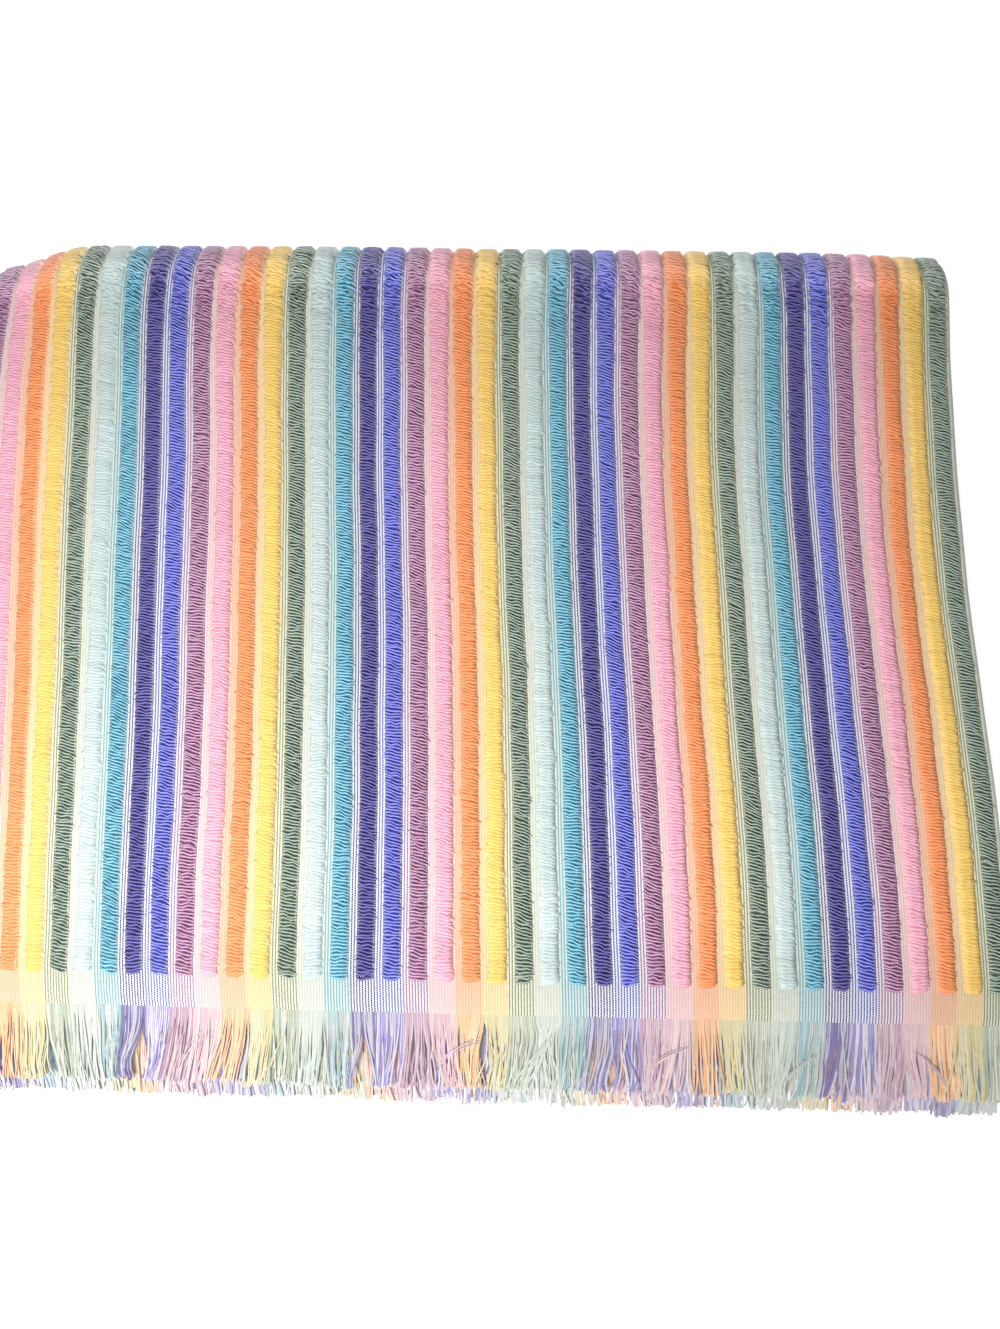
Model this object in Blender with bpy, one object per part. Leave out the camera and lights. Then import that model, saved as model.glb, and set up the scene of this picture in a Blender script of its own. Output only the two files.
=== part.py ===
"""A fringed beach towel with ribs of loop pile along its length, folded and lying flat.

The cloth is folded in half lengthwise, then twice crosswise, so eight layers lie on each
other. Metres, +Z up. +X runs along the far fold, and the fringes point to -Y.
"""

import math
import random
from collections import namedtuple

import bmesh
import bpy
from mathutils import Matrix, Vector

# The cloth, as it is woven.
RIB_PITCH = 0.0125
RIB_WIDTH = 0.0095
RIB_TOP_WIDTH = 0.0075
TOP_RIBS = 41  # ribs between the left selvedge and the lengthwise fold, on the top sheet
UNDER_RIBS = 40  # ribs from the fold back to the other selvedge
SELVEDGE = 0.0035
HEADING = 0.016  # flat woven band between the pile and the fringe
RIB_END = 0.0025  # length over which a rib rises from the heading
FOLD_TO_RIB = 0.0055  # lengthwise fold to the middle of the rib beside it

# Levels in one doubled ply, out from its middle to the faces of each sheet.
BACK = 0.0005
GROUND = 0.0017
PILE = 0.0041
PLY_PITCH = 0.0092

# Heights of the four plies' middles, from the floor up.
FLOOR_PLY = PILE
THIRD_PLY = FLOOR_PLY + PLY_PITCH
SECOND_PLY = THIRD_PLY + PLY_PITCH
TOP_PLY = SECOND_PLY + PLY_PITCH
STACK_HEIGHT = TOP_PLY + PILE

# Places along Y, measured from the outer edge of the top heading.
NEAR_CENTRE = -0.0173  # middle of the near fold, under the fringes
FAR_CENTRE = 0.373
FAR_REACH = 0.026
INNER_CENTRE = 0.379
FIRST_FULL_RIB = HEADING + RIB_END
BETWEEN_FOLDS = (0.12, 0.24, 0.32)
RIBS_CLOSE = FAR_CENTRE - 0.008  # on the underside, where the ribs no longer show

# Each crosswise fold, in the order that the cloth passes them from the end on top.
Fold = namedtuple("Fold", "centre_y centre_z reach half_height start sweep steps")
FAR_FOLD = Fold(
    FAR_CENTRE, (TOP_PLY + FLOOR_PLY) / 2, FAR_REACH, 1.5 * PLY_PITCH, 90, -180, 8
)
NEAR_FOLD = Fold(
    NEAR_CENTRE, (FLOOR_PLY + THIRD_PLY) / 2, PLY_PITCH / 2, PLY_PITCH / 2, -90, -180, 7
)
INNER_FOLD = Fold(
    INNER_CENTRE, (THIRD_PLY + SECOND_PLY) / 2, PLY_PITCH / 2, PLY_PITCH / 2, -90, 180, 7
)

# The two ends: how far each heading sinks at its edge, and how far the end below
# stands out past the one on top, at the left selvedge and at the lengthwise fold.
TOP_SINK = 0.0035
SECOND_SINK = 0.0022
OUT_AT_LEFT = 0.004
OUT_AT_FOLD = 0.012

# How the stack lies: lower at its sides, soft at its far corners, folded a little askew.
FOLD_X = 0.2575  # the lengthwise fold, at the right
LEFT_X = FOLD_X - FOLD_TO_RIB - (TOP_RIBS - 1) * RIB_PITCH - RIB_WIDTH / 2 - SELVEDGE
UNDER_LEFT_X = LEFT_X + (TOP_RIBS - UNDER_RIBS) * RIB_PITCH
SKEW = math.tan(math.radians(2.1))
SIDE_SINK = 0.0055
CORNER_FROM_Y = 0.30
CORNER_TO_Y = 0.40
CORNER_WIDTH = 0.055
CORNER_SINK = 0.0065
CORNER_DRAW = 0.010  # how far a far corner draws back towards the fringe

OUTER_STEPS, INNER_STEPS = 4, 2  # of the arcs round the lengthwise fold

# Parts of the width, for the faces whose ribs don't show.
ACROSS = (0.03, 0.08, 0.16, 0.30, 0.50, 0.70, 0.84, 0.92, 0.97)

# The fringes. Every lock passes over the near fold at the same two lines, and hangs
# beyond it; a row's lift is its height over the lowest row.
STRIP_GAP = 0.0003
STRIP_DEPTH = 0.002
LOCK_HALF_THICKNESS = 0.00055
LOCK_RANDOM = 11
BEND_Y, BEND_Z = -0.018, 0.0189
DROOP_Y, DROOP_Z = -0.029, 0.0164
HANGING_SLOPE = 0.45
LENGTH_PAST_EDGE = 0.040
Row = namedtuple("Row", "name sheet locks width lift")
FringeEnd = namedtuple("FringeEnd", "name height sink up out rows")
TOP_END = FringeEnd(
    "fringe_top", TOP_PLY, TOP_SINK, 1, 0.0,
    (Row("on_top", 1, 82, 0.0044, 0.0054), Row("below", -1, 40, 0.0080, 0.0037)),
)
UNDER_END = FringeEnd(
    "fringe_under", SECOND_PLY, SECOND_SINK, -1, 1.0,
    (Row("on_top", -1, 80, 0.0044, 0.0017), Row("below", 1, 41, 0.0080, 0.0)),
)
TIP_SPREAD = 0.0022  # how unevenly long the locks are
SWERVE = 0.0014  # how far a tip stands to one side, in slow waves along the fringe
SWERVE_TURNS = 61
SWERVE_CHANCE = 0.0003
ROW_PHASE = 900
BEND_SHARE, DROOP_SHARE = 0.4, 0.7  # of the swerve, at the two lines
BEND_TAPER, DROOP_TAPER = 0.46, 0.38  # of the lock's width, each side of its middle


def smooth(t):
    """Smooth step from 0 to 1."""
    t = min(max(t, 0.0), 1.0)
    return t * t * (3 - 2 * t)


def end_below_out(x):
    """How far the end below stands out past the end on top, at x."""
    share = (x - LEFT_X) / (FOLD_X - LEFT_X)
    return OUT_AT_LEFT + (OUT_AT_FOLD - OUT_AT_LEFT) * share


def lie_down(x, y, z):
    """Moves a point of an even, square stack to its place in the towel as it lies."""
    middle = (LEFT_X + FOLD_X) / 2
    half = (FOLD_X - LEFT_X) / 2
    across = abs(x - middle) / half
    far = smooth((y - CORNER_FROM_Y) / (CORNER_TO_Y - CORNER_FROM_Y))
    corner = far * smooth((across - 1 + CORNER_WIDTH / half) * half / CORNER_WIDTH)
    sink = SIDE_SINK * across**3 + CORNER_SINK * corner
    return Vector(
        (x, y - SKEW * (x - middle) - CORNER_DRAW * corner, z * (1 - sink / STACK_HEIGHT))
    )


def widths(left, right):
    """Places across a sheet where its plain faces have points."""
    first = left + SELVEDGE
    last = right - SELVEDGE
    return [left, first] + [first + (last - first) * part for part in ACROSS] + [last, right]


def plain_face(left, level):
    """(x, level) across a face from the selvedge to the lengthwise fold, without ribs."""
    places = widths(left, FOLD_X)
    return [(x, GROUND if x in (places[0], places[-1]) else level) for x in places]


def ribbed_face(foot, top):
    """(x, level) across the top sheet's outer face, with four points to each rib."""
    face = [(LEFT_X, GROUND)]
    for i in range(TOP_RIBS):
        middle = FOLD_X - FOLD_TO_RIB - (TOP_RIBS - 1 - i) * RIB_PITCH
        face += [
            (middle - RIB_WIDTH / 2, foot),
            (middle - RIB_TOP_WIDTH / 2, top),
            (middle + RIB_TOP_WIDTH / 2, top),
            (middle + RIB_WIDTH / 2, foot),
        ]
    return face + [(FOLD_X, GROUND)]


# The outer face of the top sheet at a station, and the level of the other outer face.
Face = namedtuple("Face", "points under_level")
FACES = {
    "heading": Face(plain_face(LEFT_X, GROUND), GROUND),
    "foot": Face(ribbed_face(GROUND, GROUND), GROUND),
    "ribbed": Face(ribbed_face(GROUND, PILE), PILE),
    "closed": Face(ribbed_face(PILE, PILE), PILE),
    "plain": Face(plain_face(LEFT_X, PILE), PILE),
}


def bend(radius, steps, start, sweep):
    """(x, level) round the lengthwise fold, without the two ends of the arc."""
    turns = [math.radians(start + sweep * i / steps) for i in range(1, steps)]
    return [(FOLD_X + radius * math.cos(a), radius * math.sin(a)) for a in turns]


def rest_of_ring(under_level):
    """(x, level) from the lengthwise fold round the under sheet and back inside."""
    under = [(x, -level) for x, level in plain_face(UNDER_LEFT_X, under_level)]
    back = [(x, -BACK) for x in widths(UNDER_LEFT_X, FOLD_X)]
    top_back = [(x, BACK) for x in widths(LEFT_X, FOLD_X)]
    return (
        bend(GROUND, OUTER_STEPS, 90, -180)
        + under[::-1]
        + back
        + bend(BACK, INNER_STEPS, -90, 180)
        + top_back[::-1]
    )


# One station along the cloth: the ply's middle, its outward direction there, the kind of
# face, and whether the end below has its turn there.
Station = namedtuple("Station", "y z out_y out_z face turned")


def straight(places, height, up, face):
    """Stations along a level ply."""
    return [Station(y, height, 0.0, up, face, 0.0) for y in places]


def turned_fold(fold, face):
    """Stations round a crosswise fold, from one ply to the next."""
    stations = []
    for i in range(fold.steps + 1):
        a = math.radians(fold.start + fold.sweep * i / fold.steps)
        y, z = fold.reach * math.cos(a), fold.half_height * math.sin(a)
        out = Vector((fold.half_height * math.cos(a), fold.reach * math.sin(a))).normalized()
        out *= -math.copysign(1, fold.sweep)
        stations.append(
            Station(fold.centre_y + y, fold.centre_z + z, out.x, out.y, face, 0.0)
        )
    return stations


def stations_of_towel():
    """Stations along the whole cloth, from the end on top to the end beneath it."""
    onward = (FIRST_FULL_RIB,) + BETWEEN_FOLDS
    back = onward[::-1]
    return (
        [
            Station(0.0, TOP_PLY - TOP_SINK, 0.0, 1.0, "heading", 0.0),
            Station(HEADING, TOP_PLY, 0.0, 1.0, "foot", 0.0),
        ]
        + straight(onward, TOP_PLY, 1.0, "ribbed")
        + turned_fold(FAR_FOLD, "ribbed")
        + straight((RIBS_CLOSE,), FLOOR_PLY, -1.0, "closed")
        + straight(back, FLOOR_PLY, -1.0, "plain")
        + turned_fold(NEAR_FOLD, "plain")
        + straight(onward, THIRD_PLY, 1.0, "plain")
        + turned_fold(INNER_FOLD, "plain")
        + straight(back[:-1], SECOND_PLY, -1.0, "plain")
        + [
            Station(FIRST_FULL_RIB, SECOND_PLY, 0.0, -1.0, "plain", 1.0),
            Station(HEADING, SECOND_PLY, 0.0, -1.0, "heading", 1.0),
            Station(0.0, SECOND_PLY - SECOND_SINK, 0.0, -1.0, "heading", 1.0),
        ]
    )


def place(station, x, level):
    """The lying place of a point of the cloth's section at a station."""
    y = station.y + level * station.out_y - station.turned * end_below_out(x)
    return lie_down(x, y, station.z + level * station.out_z)


def join_uneven(bm, many, few):
    """Faces between a row with many points and one with few, over the same width."""
    nearest = [min(range(len(many)), key=lambda i: abs(many[i].co.x - v.co.x)) for v in few]
    nearest[0], nearest[-1] = 0, len(many) - 1
    for j in range(len(few) - 1):
        bm.faces.new([few[j], few[j + 1]] + many[nearest[j] : nearest[j + 1] + 1][::-1])


def join_rows(bm, one, two):
    """Faces between two rows of points, with as many on each or not."""
    if len(one) == len(two):
        for i in range(len(one) - 1):
            bm.faces.new((one[i], one[i + 1], two[i + 1], two[i]))
    elif len(one) > len(two):
        join_uneven(bm, one, two)
    else:
        join_uneven(bm, two, one)


def close_end(bm, top, rest):
    """The cut end of both sheets and of the lengthwise fold between them."""
    count = len(top)
    first = OUTER_STEPS - 1
    turn, under = rest[:first], rest[first : first + count]
    back = rest[first + count : first + 2 * count]
    inside, top_back = rest[first + 2 * count], rest[first + 2 * count + 1 :]
    join_rows(bm, top, top_back[::-1])
    join_rows(bm, under, back[::-1])
    bm.faces.new((top[-1], turn[0], turn[1], inside, top_back[0]))
    bm.faces.new((turn[1], turn[2], under[0], back[-1], inside))


def finished(bm, name, material):
    """The object of a mesh that is done, with its faces outwards."""
    bmesh.ops.recalc_face_normals(bm, faces=bm.faces)
    mesh = bpy.data.meshes.new(name)
    bm.to_mesh(mesh)
    bm.free()
    mesh.materials.append(material)
    piece = bpy.data.objects.new(name, mesh)
    bpy.context.scene.collection.objects.link(piece)
    return piece


def make_towel(material):
    """The folded cloth, as one solid."""
    bm = bmesh.new()
    rings = []
    for station in stations_of_towel():
        face = FACES[station.face]
        top = [bm.verts.new(place(station, x, level)) for x, level in face.points]
        rest = [
            bm.verts.new(place(station, x, level))
            for x, level in rest_of_ring(face.under_level)
        ]
        rings.append((top, rest))
    for (top, rest), (next_top, next_rest) in zip(rings, rings[1:]):
        join_rows(bm, top, next_top)
        join_rows(bm, [top[-1]] + rest + [top[0]], [next_top[-1]] + next_rest + [next_top[0]])
    close_end(bm, *rings[0])
    close_end(bm, *rings[-1])
    return finished(bm, "towel", material)


def lock_edges(row, left, right):
    """Left and right edge of each lock's root along a sheet's end."""
    pitch = (right - left) / row.locks
    return [
        (left + pitch * (i + 0.5) - row.width / 2, left + pitch * (i + 0.5) + row.width / 2)
        for i in range(row.locks)
    ]


def grow_lock(bm, end, row, corners, chance):
    """One tapering lock from four root points, over the near fold and down."""
    x = sum(v.co.x for v in corners) / len(corners)
    out = end.out * end_below_out(x)
    swerve = SWERVE * math.sin(SWERVE_TURNS * x + ROW_PHASE * row.lift)
    swerve += SWERVE_CHANCE * chance.uniform(-1, 1)
    tip_y = -LENGTH_PAST_EDGE - out - chance.uniform(-1, 1) * TIP_SPREAD
    tip_z = DROOP_Z + row.lift - HANGING_SLOPE * (DROOP_Y - tip_y)
    rings = [corners]
    for y, z, width, share in (
        (BEND_Y, BEND_Z + row.lift, row.width * BEND_TAPER, BEND_SHARE),
        (DROOP_Y, DROOP_Z + row.lift, row.width * DROOP_TAPER, DROOP_SHARE),
    ):
        rings.append(
            [
                bm.verts.new(
                    lie_down(x + swerve * share + a * width, y, z + b * LOCK_HALF_THICKNESS)
                )
                for a, b in ((-1, 1), (1, 1), (1, -1), (-1, -1))
            ]
        )
    tip = bm.verts.new(lie_down(x + swerve, tip_y, tip_z))
    for ring, following in zip(rings, rings[1:]):
        for i in range(4):
            bm.faces.new((ring[i], ring[(i + 1) % 4], following[(i + 1) % 4], following[i]))
    for i in range(4):
        bm.faces.new((rings[-1][i], rings[-1][(i + 1) % 4], tip))


def make_fringe(end, material):
    """The locks of one end of the towel, on the narrow strip that they grow from."""
    bm = bmesh.new()
    chance = random.Random(LOCK_RANDOM)

    def point(x, y, level):
        out = end.out * end_below_out(x)
        return bm.verts.new(lie_down(x, y - out, end.height - end.sink + end.up * level))

    near, away = -STRIP_GAP - STRIP_DEPTH, -STRIP_GAP
    sides = {}
    for row in end.rows:
        left = LEFT_X if row.sheet > 0 else UNDER_LEFT_X
        edges = lock_edges(row, left, FOLD_X)
        front_x = [left] + [x for pair in edges for x in pair] + [FOLD_X]
        front = [
            [point(x, near, row.sheet * level) for x in front_x] for level in (GROUND, BACK)
        ]
        rear = [
            [point(x, away, row.sheet * level) for x in widths(left, FOLD_X)]
            for level in (GROUND, BACK)
        ]
        for face_front, face_rear in zip(front, rear):
            join_uneven(bm, face_front, face_rear)
        join_rows(bm, rear[0], rear[1])
        bm.faces.new((front[0][0], front[1][0], rear[1][0], rear[0][0]))
        for i in range(0, len(front_x) - 1, 2):
            bm.faces.new((front[0][i], front[0][i + 1], front[1][i + 1], front[1][i]))
        for i in range(1, len(front_x) - 1, 2):
            upper, lower = (0, 1) if row.sheet * end.up > 0 else (1, 0)
            corners = [front[upper][i], front[upper][i + 1], front[lower][i + 1], front[lower][i]]
            grow_lock(bm, end, row, corners, chance)
        sides[row.sheet] = (front[0][-1], rear[0][-1], front[1][-1], rear[1][-1])
    outer, inner = [], []
    for k, y in ((0, near), (1, away)):
        turn = [point(x, y, level) for x, level in bend(GROUND, OUTER_STEPS, 90, -180)]
        outer.append([sides[1][k]] + turn + [sides[-1][k]])
        turn = [point(x, y, level) for x, level in bend(BACK, INNER_STEPS, 90, -180)]
        inner.append([sides[1][k + 2]] + turn + [sides[-1][k + 2]])
    join_rows(bm, outer[0], outer[1])
    join_rows(bm, inner[0], inner[1])
    for arc, small in zip(outer, inner):
        bm.faces.new(arc[:3] + [small[1], small[0]])
        bm.faces.new(arc[2:] + [small[2], small[1]])
    return finished(bm, end.name, material)


def make_material(name, colour, roughness):
    """A plain cotton finish."""
    material = bpy.data.materials.new(name)
    material.use_nodes = True
    shader = material.node_tree.nodes["Principled BSDF"]
    shader.inputs["Base Color"].default_value = (*colour, 1.0)
    shader.inputs["Roughness"].default_value = roughness
    shader.inputs["Metallic"].default_value = 0.0
    return material


def centre_on_floor(pieces):
    """Moves all meshes so that the middle of the box's underside is the origin."""
    points = [v.co for piece in pieces for v in piece.data.vertices]
    low = [min(p[i] for p in points) for i in range(3)]
    high = [max(p[i] for p in points) for i in range(3)]
    shift = Vector((-(low[0] + high[0]) / 2, -(low[1] + high[1]) / 2, -low[2]))
    for piece in pieces:
        piece.data.transform(Matrix.Translation(shift))


def main():
    """Clears the scene and makes the towel and its two fringes."""
    for thing in list(bpy.data.objects):
        bpy.data.objects.remove(thing, do_unlink=True)
    pieces = [
        make_towel(make_material("pile_cotton", (0.86, 0.50, 0.36), 0.95)),
        make_fringe(TOP_END, make_material("top_yarn", (0.80, 0.84, 0.78), 0.9)),
        make_fringe(UNDER_END, make_material("under_yarn", (0.62, 0.60, 0.80), 0.9)),
    ]
    centre_on_floor(pieces)


main()
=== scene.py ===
"""The looks of a folded beach towel: its ground cloth, ribs of loop pile and fringes.

Every piece is shaped flat, in the cloth's own measures (across, along, height), and then
carried by one function into the folded stack that the frame holds.
"""

import logging
import math
from dataclasses import dataclass
from enum import Enum

import bmesh
import bpy
import numpy as np
from mathutils import Matrix, Vector

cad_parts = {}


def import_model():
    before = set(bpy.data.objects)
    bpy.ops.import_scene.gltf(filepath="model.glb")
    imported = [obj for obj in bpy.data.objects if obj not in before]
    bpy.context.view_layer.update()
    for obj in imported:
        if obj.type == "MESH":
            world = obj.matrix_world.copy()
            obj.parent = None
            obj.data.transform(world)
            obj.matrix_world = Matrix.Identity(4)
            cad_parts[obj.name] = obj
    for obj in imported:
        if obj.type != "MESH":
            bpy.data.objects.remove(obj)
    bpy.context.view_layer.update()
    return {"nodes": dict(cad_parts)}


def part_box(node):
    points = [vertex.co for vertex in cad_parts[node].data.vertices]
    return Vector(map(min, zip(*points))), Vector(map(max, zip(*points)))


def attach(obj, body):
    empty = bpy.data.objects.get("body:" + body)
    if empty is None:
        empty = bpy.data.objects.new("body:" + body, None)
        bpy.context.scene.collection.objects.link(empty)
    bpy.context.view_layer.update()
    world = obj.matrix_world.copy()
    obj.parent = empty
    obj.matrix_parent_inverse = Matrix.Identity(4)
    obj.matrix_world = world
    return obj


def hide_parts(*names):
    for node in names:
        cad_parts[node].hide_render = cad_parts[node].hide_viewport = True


LOG = logging.getLogger("beach_towel")
MM = 0.001


# ---------------------------------------------------------------- the folded cloth


@dataclass(frozen=True)
class Weave:
    """Sizes of the cloth as it is woven, in metres."""

    rib_pitch: float = 0.0125
    rib_width: float = 0.0095
    top_ribs: int = 41
    under_ribs: int = 40
    selvedge: float = 0.0035
    heading: float = 0.016
    fold_to_rib: float = 0.0055
    back: float = 0.0005
    ground: float = 0.0017
    pile: float = 0.0041
    row_pitch: float = 0.0016


@dataclass(frozen=True)
class Stack:
    """Sizes of the stack that the cloth is folded into, from the top heading's edge."""

    ply_pitch: float = 0.0092
    near_centre: float = -0.0173
    far_centre: float = 0.373
    far_reach: float = 0.026
    inner_centre: float = 0.379
    top_sink: float = 0.0035
    second_sink: float = 0.0022
    out_at_left: float = 0.004
    out_at_fold: float = 0.012
    out_from_y: float = 0.12
    fold_x: float = 0.2575
    skew: float = math.tan(math.radians(2.1))
    side_sink: float = 0.0055
    corner_from_y: float = 0.30
    corner_to_y: float = 0.40
    corner_width: float = 0.055
    corner_sink: float = 0.0065
    corner_draw: float = 0.010
    right_corner: float = 0.10
    right_sink: float = 0.40
    arc_steps: int = 48


@dataclass(frozen=True)
class Ripple:
    """A wave over the cloth, in mm: the product of two sines, each by (x, y, start)."""

    size: float
    first: tuple[float, float, float]
    second: tuple[float, float, float] = (0.0, 0.0, math.pi / 2)

    def at(self, x: np.ndarray, y: np.ndarray) -> np.ndarray:
        """Its height at each place."""
        waves = [np.sin(by_x * x + by_y * y + start) for by_x, by_y, start in (self.first, self.second)]
        return self.size * waves[0] * waves[1]


@dataclass(frozen=True)
class Crease:
    """A soft trough across the top of the stack, from (x, y) to (x, y)."""

    start: tuple[float, float]
    end: tuple[float, float]
    width: float
    depth: float


CREASES = (
    Crease((0.085, 0.383), (0.235, 0.372), 0.005, 0.0012),
    Crease((-0.215, 0.392), (-0.10, 0.395), 0.006, 0.0008),
    Crease((0.10, 0.345), (0.25, 0.335), 0.018, 0.0008),
    Crease((-0.24, 0.10), (-0.15, 0.35), 0.040, 0.0009),
)
CREASE_END = 0.2  # share of a crease's length over which it fades out

# Slow hills and hollows of soft layers lying on each other, and how far they sink on the whole.
HILLS = (Ripple(0.45, (23, 9, 0.6), (-7, 17, 1.9)), Ripple(0.25, (51, -12, 0.0), (0, 39, 2.2)))
HILLS_SINK = 0.35

# How far the cloth lies aside from straight, in mm: by x across and by y down the table,
# evened out over a short stretch along y, and with small waves on top.
SWAY_X = (-0.215, -0.115, -0.015, 0.085, 0.185, 0.240)
SWAY = (
    (0.020, (-0.8, -1.9, -1.3, -0.1, 0.6, 1.0)),
    (0.060, (-1.7, -1.0, -1.2, 0.3, 1.4, 2.4)),
    (0.100, (-1.0, -0.4, 0.0, -0.3, 1.2, 2.0)),
    (0.160, (-2.5, 0.3, -0.2, -1.0, -1.3, -0.6)),
    (0.220, (-3.9, -0.4, -0.7, -2.1, -2.5, -3.0)),
    (0.280, (-5.0, -1.0, -1.4, -2.3, -3.4, -3.3)),
    (0.340, (-5.2, -2.6, -1.5, -0.7, -0.8, -0.8)),
    (0.365, (-4.5, -3.0, -1.1, 0.1, 0.3, 1.1)),
    (0.390, (-3.4, -1.0, -0.1, 1.0, 1.1, 2.6)),
)
SWAY_EVENED = (-0.016, -0.008, 0.0, 0.008, 0.016)
SWAY_WAVES = (
    Ripple(0.5, (5, 14, 0.8), (9, 0, 0.4)),
    Ripple(0.22, (31, 46, 0.0)),
    Ripple(0.12, (-83, 97, 0.0)),
)


def smooth(t: np.ndarray) -> np.ndarray:
    """Smooth step from 0 to 1."""
    t = np.clip(t, 0.0, 1.0)
    return t * t * (3 - 2 * t)


class FoldedCloth:
    """Carries points of the flat cloth into the folded stack."""

    SAMPLES_ACROSS = 200
    SAMPLES_ROUND = 60

    def __init__(self, weave: Weave, stack: Stack) -> None:
        """Lays out the ply's path once.

        Args:
            weave: the cloth's sizes.
            stack: the folded stack's sizes.
        """
        self.weave = weave
        self.stack = stack
        self.mid = (weave.back + weave.ground) / 2
        self.floor_ply = weave.pile
        self.third_ply = self.floor_ply + stack.ply_pitch
        self.second_ply = self.third_ply + stack.ply_pitch
        self.top_ply = self.second_ply + stack.ply_pitch
        self.height = self.top_ply + weave.pile
        self.top_left = self.left_x(weave.top_ribs)
        self.top_width = stack.fold_x - self.top_left
        self.turn_width = math.pi * self.mid
        under_width = stack.fold_x - self.left_x(weave.under_ribs)
        self.width = self.top_width + self.turn_width + under_width
        self._lay_path()
        self.shift = Vector((0.0, 0.0, 0.0))
        self._meet_frame()

    def left_x(self, ribs: int) -> float:
        """Place of the selvedge of a sheet with so many ribs."""
        weave = self.weave
        return self.stack.fold_x - (
            weave.fold_to_rib + (ribs - 1) * weave.rib_pitch + weave.rib_width / 2 + weave.selvedge
        )

    def _arc(self, centre: tuple[float, float], reach: float, half: float, sweep: int) -> list:
        """Points and outward directions round one crosswise fold.

        Args:
            centre: the fold's middle (y, z).
            reach: its half axis along Y.
            half: its half axis along Z.
            sweep: +1 or -1 half turn; it starts at the top when the far fold turns down.

        Returns:
            Rows of (y, z, out_y, out_z).
        """
        start = 90 if reach == self.stack.far_reach else -90
        rows = []
        for i in range(self.stack.arc_steps + 1):
            angle = math.radians(start + sweep * 180 * i / self.stack.arc_steps)
            along, up = math.cos(angle), math.sin(angle)
            out = Vector((half * along, reach * up)).normalized() * -sweep
            rows.append((centre[0] + reach * along, centre[1] + half * up, out.x, out.y))
        return rows

    def _lay_path(self) -> None:
        """Lays the middle of the ply from the end on top to the end beneath it."""
        heading, stack = self.weave.heading, self.stack
        half = stack.ply_pitch / 2
        middle = (self.top_ply + self.floor_ply) / 2
        rows = [
            (0.0, self.top_ply - stack.top_sink, 0.0, 1.0),
            (heading, self.top_ply, 0.0, 1.0),
        ]
        rows += self._arc((stack.far_centre, middle), stack.far_reach, 3 * half, -1)
        rows += self._arc((stack.near_centre, self.floor_ply + half), half, half, -1)
        rows += self._arc((stack.inner_centre, self.third_ply + half), half, half, 1)
        rows += [
            (stack.out_from_y, self.second_ply, 0.0, -1.0),
            (heading, self.second_ply, 0.0, -1.0),
            (0.0, self.second_ply - stack.second_sink, 0.0, -1.0),
        ]
        self.path = np.array(rows)
        steps = np.hypot(np.diff(self.path[:, 0]), np.diff(self.path[:, 1]))
        self.along = np.concatenate([[0.0], np.cumsum(steps)])
        self.length = float(self.along[-1])
        arc = stack.arc_steps
        self.far_start, self.far_end = self.along[2], self.along[2 + arc]
        self.near_start, self.near_end = self.along[3 + arc], self.along[3 + 2 * arc]
        self.inner_start, self.inner_end = self.along[4 + 2 * arc], self.along[4 + 3 * arc]
        self.out_start, self.out_full = self.along[-3], self.along[-2]

    def _meet_frame(self) -> None:
        """Finds the shift that puts the stack where the frame holds it."""
        low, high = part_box("towel")
        top = np.linspace(0.0, self.top_width, self.SAMPLES_ACROSS)
        round_fold = np.linspace(self.far_start, self.far_end, self.SAMPLES_ROUND)
        grid = np.meshgrid(top, round_fold)
        level = self.weave.pile - self.mid
        points = self.carry(grid[0].ravel(), grid[1].ravel(), level)
        right = self.stack.fold_x + self.weave.ground
        self.shift = Vector((high.x - right, high.y - points[:, 1].max(), low.z))

    def end_below_out(self, x: np.ndarray) -> np.ndarray:
        """How far the end below stands out past the end on top, at x."""
        share = (x - self.top_left) / self.top_width
        return self.stack.out_at_left + (self.stack.out_at_fold - self.stack.out_at_left) * share

    def lie(self, x: np.ndarray, y: np.ndarray, z: np.ndarray) -> np.ndarray:
        """Moves points of the even stack to where they lie.

        Args:
            x: places along the width.
            y: places from the top heading's edge.
            z: heights in the even stack.

        Returns:
            An (N, 3) array in the frame.
        """
        stack = self.stack
        middle, half = (self.top_left + stack.fold_x) / 2, self.top_width / 2
        across = np.abs(x - middle) / half
        far = smooth((y - stack.corner_from_y) / (stack.corner_to_y - stack.corner_from_y))
        corner = far * smooth((across - 1 + stack.corner_width / half) * half / stack.corner_width)
        corner = corner * np.where(x > middle, stack.right_corner, 1.0)
        side = stack.side_sink * np.where(x > middle, stack.right_sink, 1.0)
        sink = side * across**3 + stack.corner_sink * corner
        share = np.clip(z / self.height, 0, 1)
        lifted = z * (1 - sink / self.height) + self.unevenness(x, y) * share**2
        for crease in CREASES:
            lifted = lifted - self.trough(crease, x, y) * share**4
        lying_y = y - stack.skew * (x - middle) - stack.corner_draw * corner
        lying_x = x + self.wander(x, y) * share
        return np.stack([lying_x, lying_y, lifted], axis=1) + np.array(self.shift)

    @staticmethod
    def unevenness(x: np.ndarray, y: np.ndarray) -> np.ndarray:
        """Height of the slow hills and hollows at each place."""
        return MM * (sum(hill.at(x, y) for hill in HILLS) - HILLS_SINK)

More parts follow.
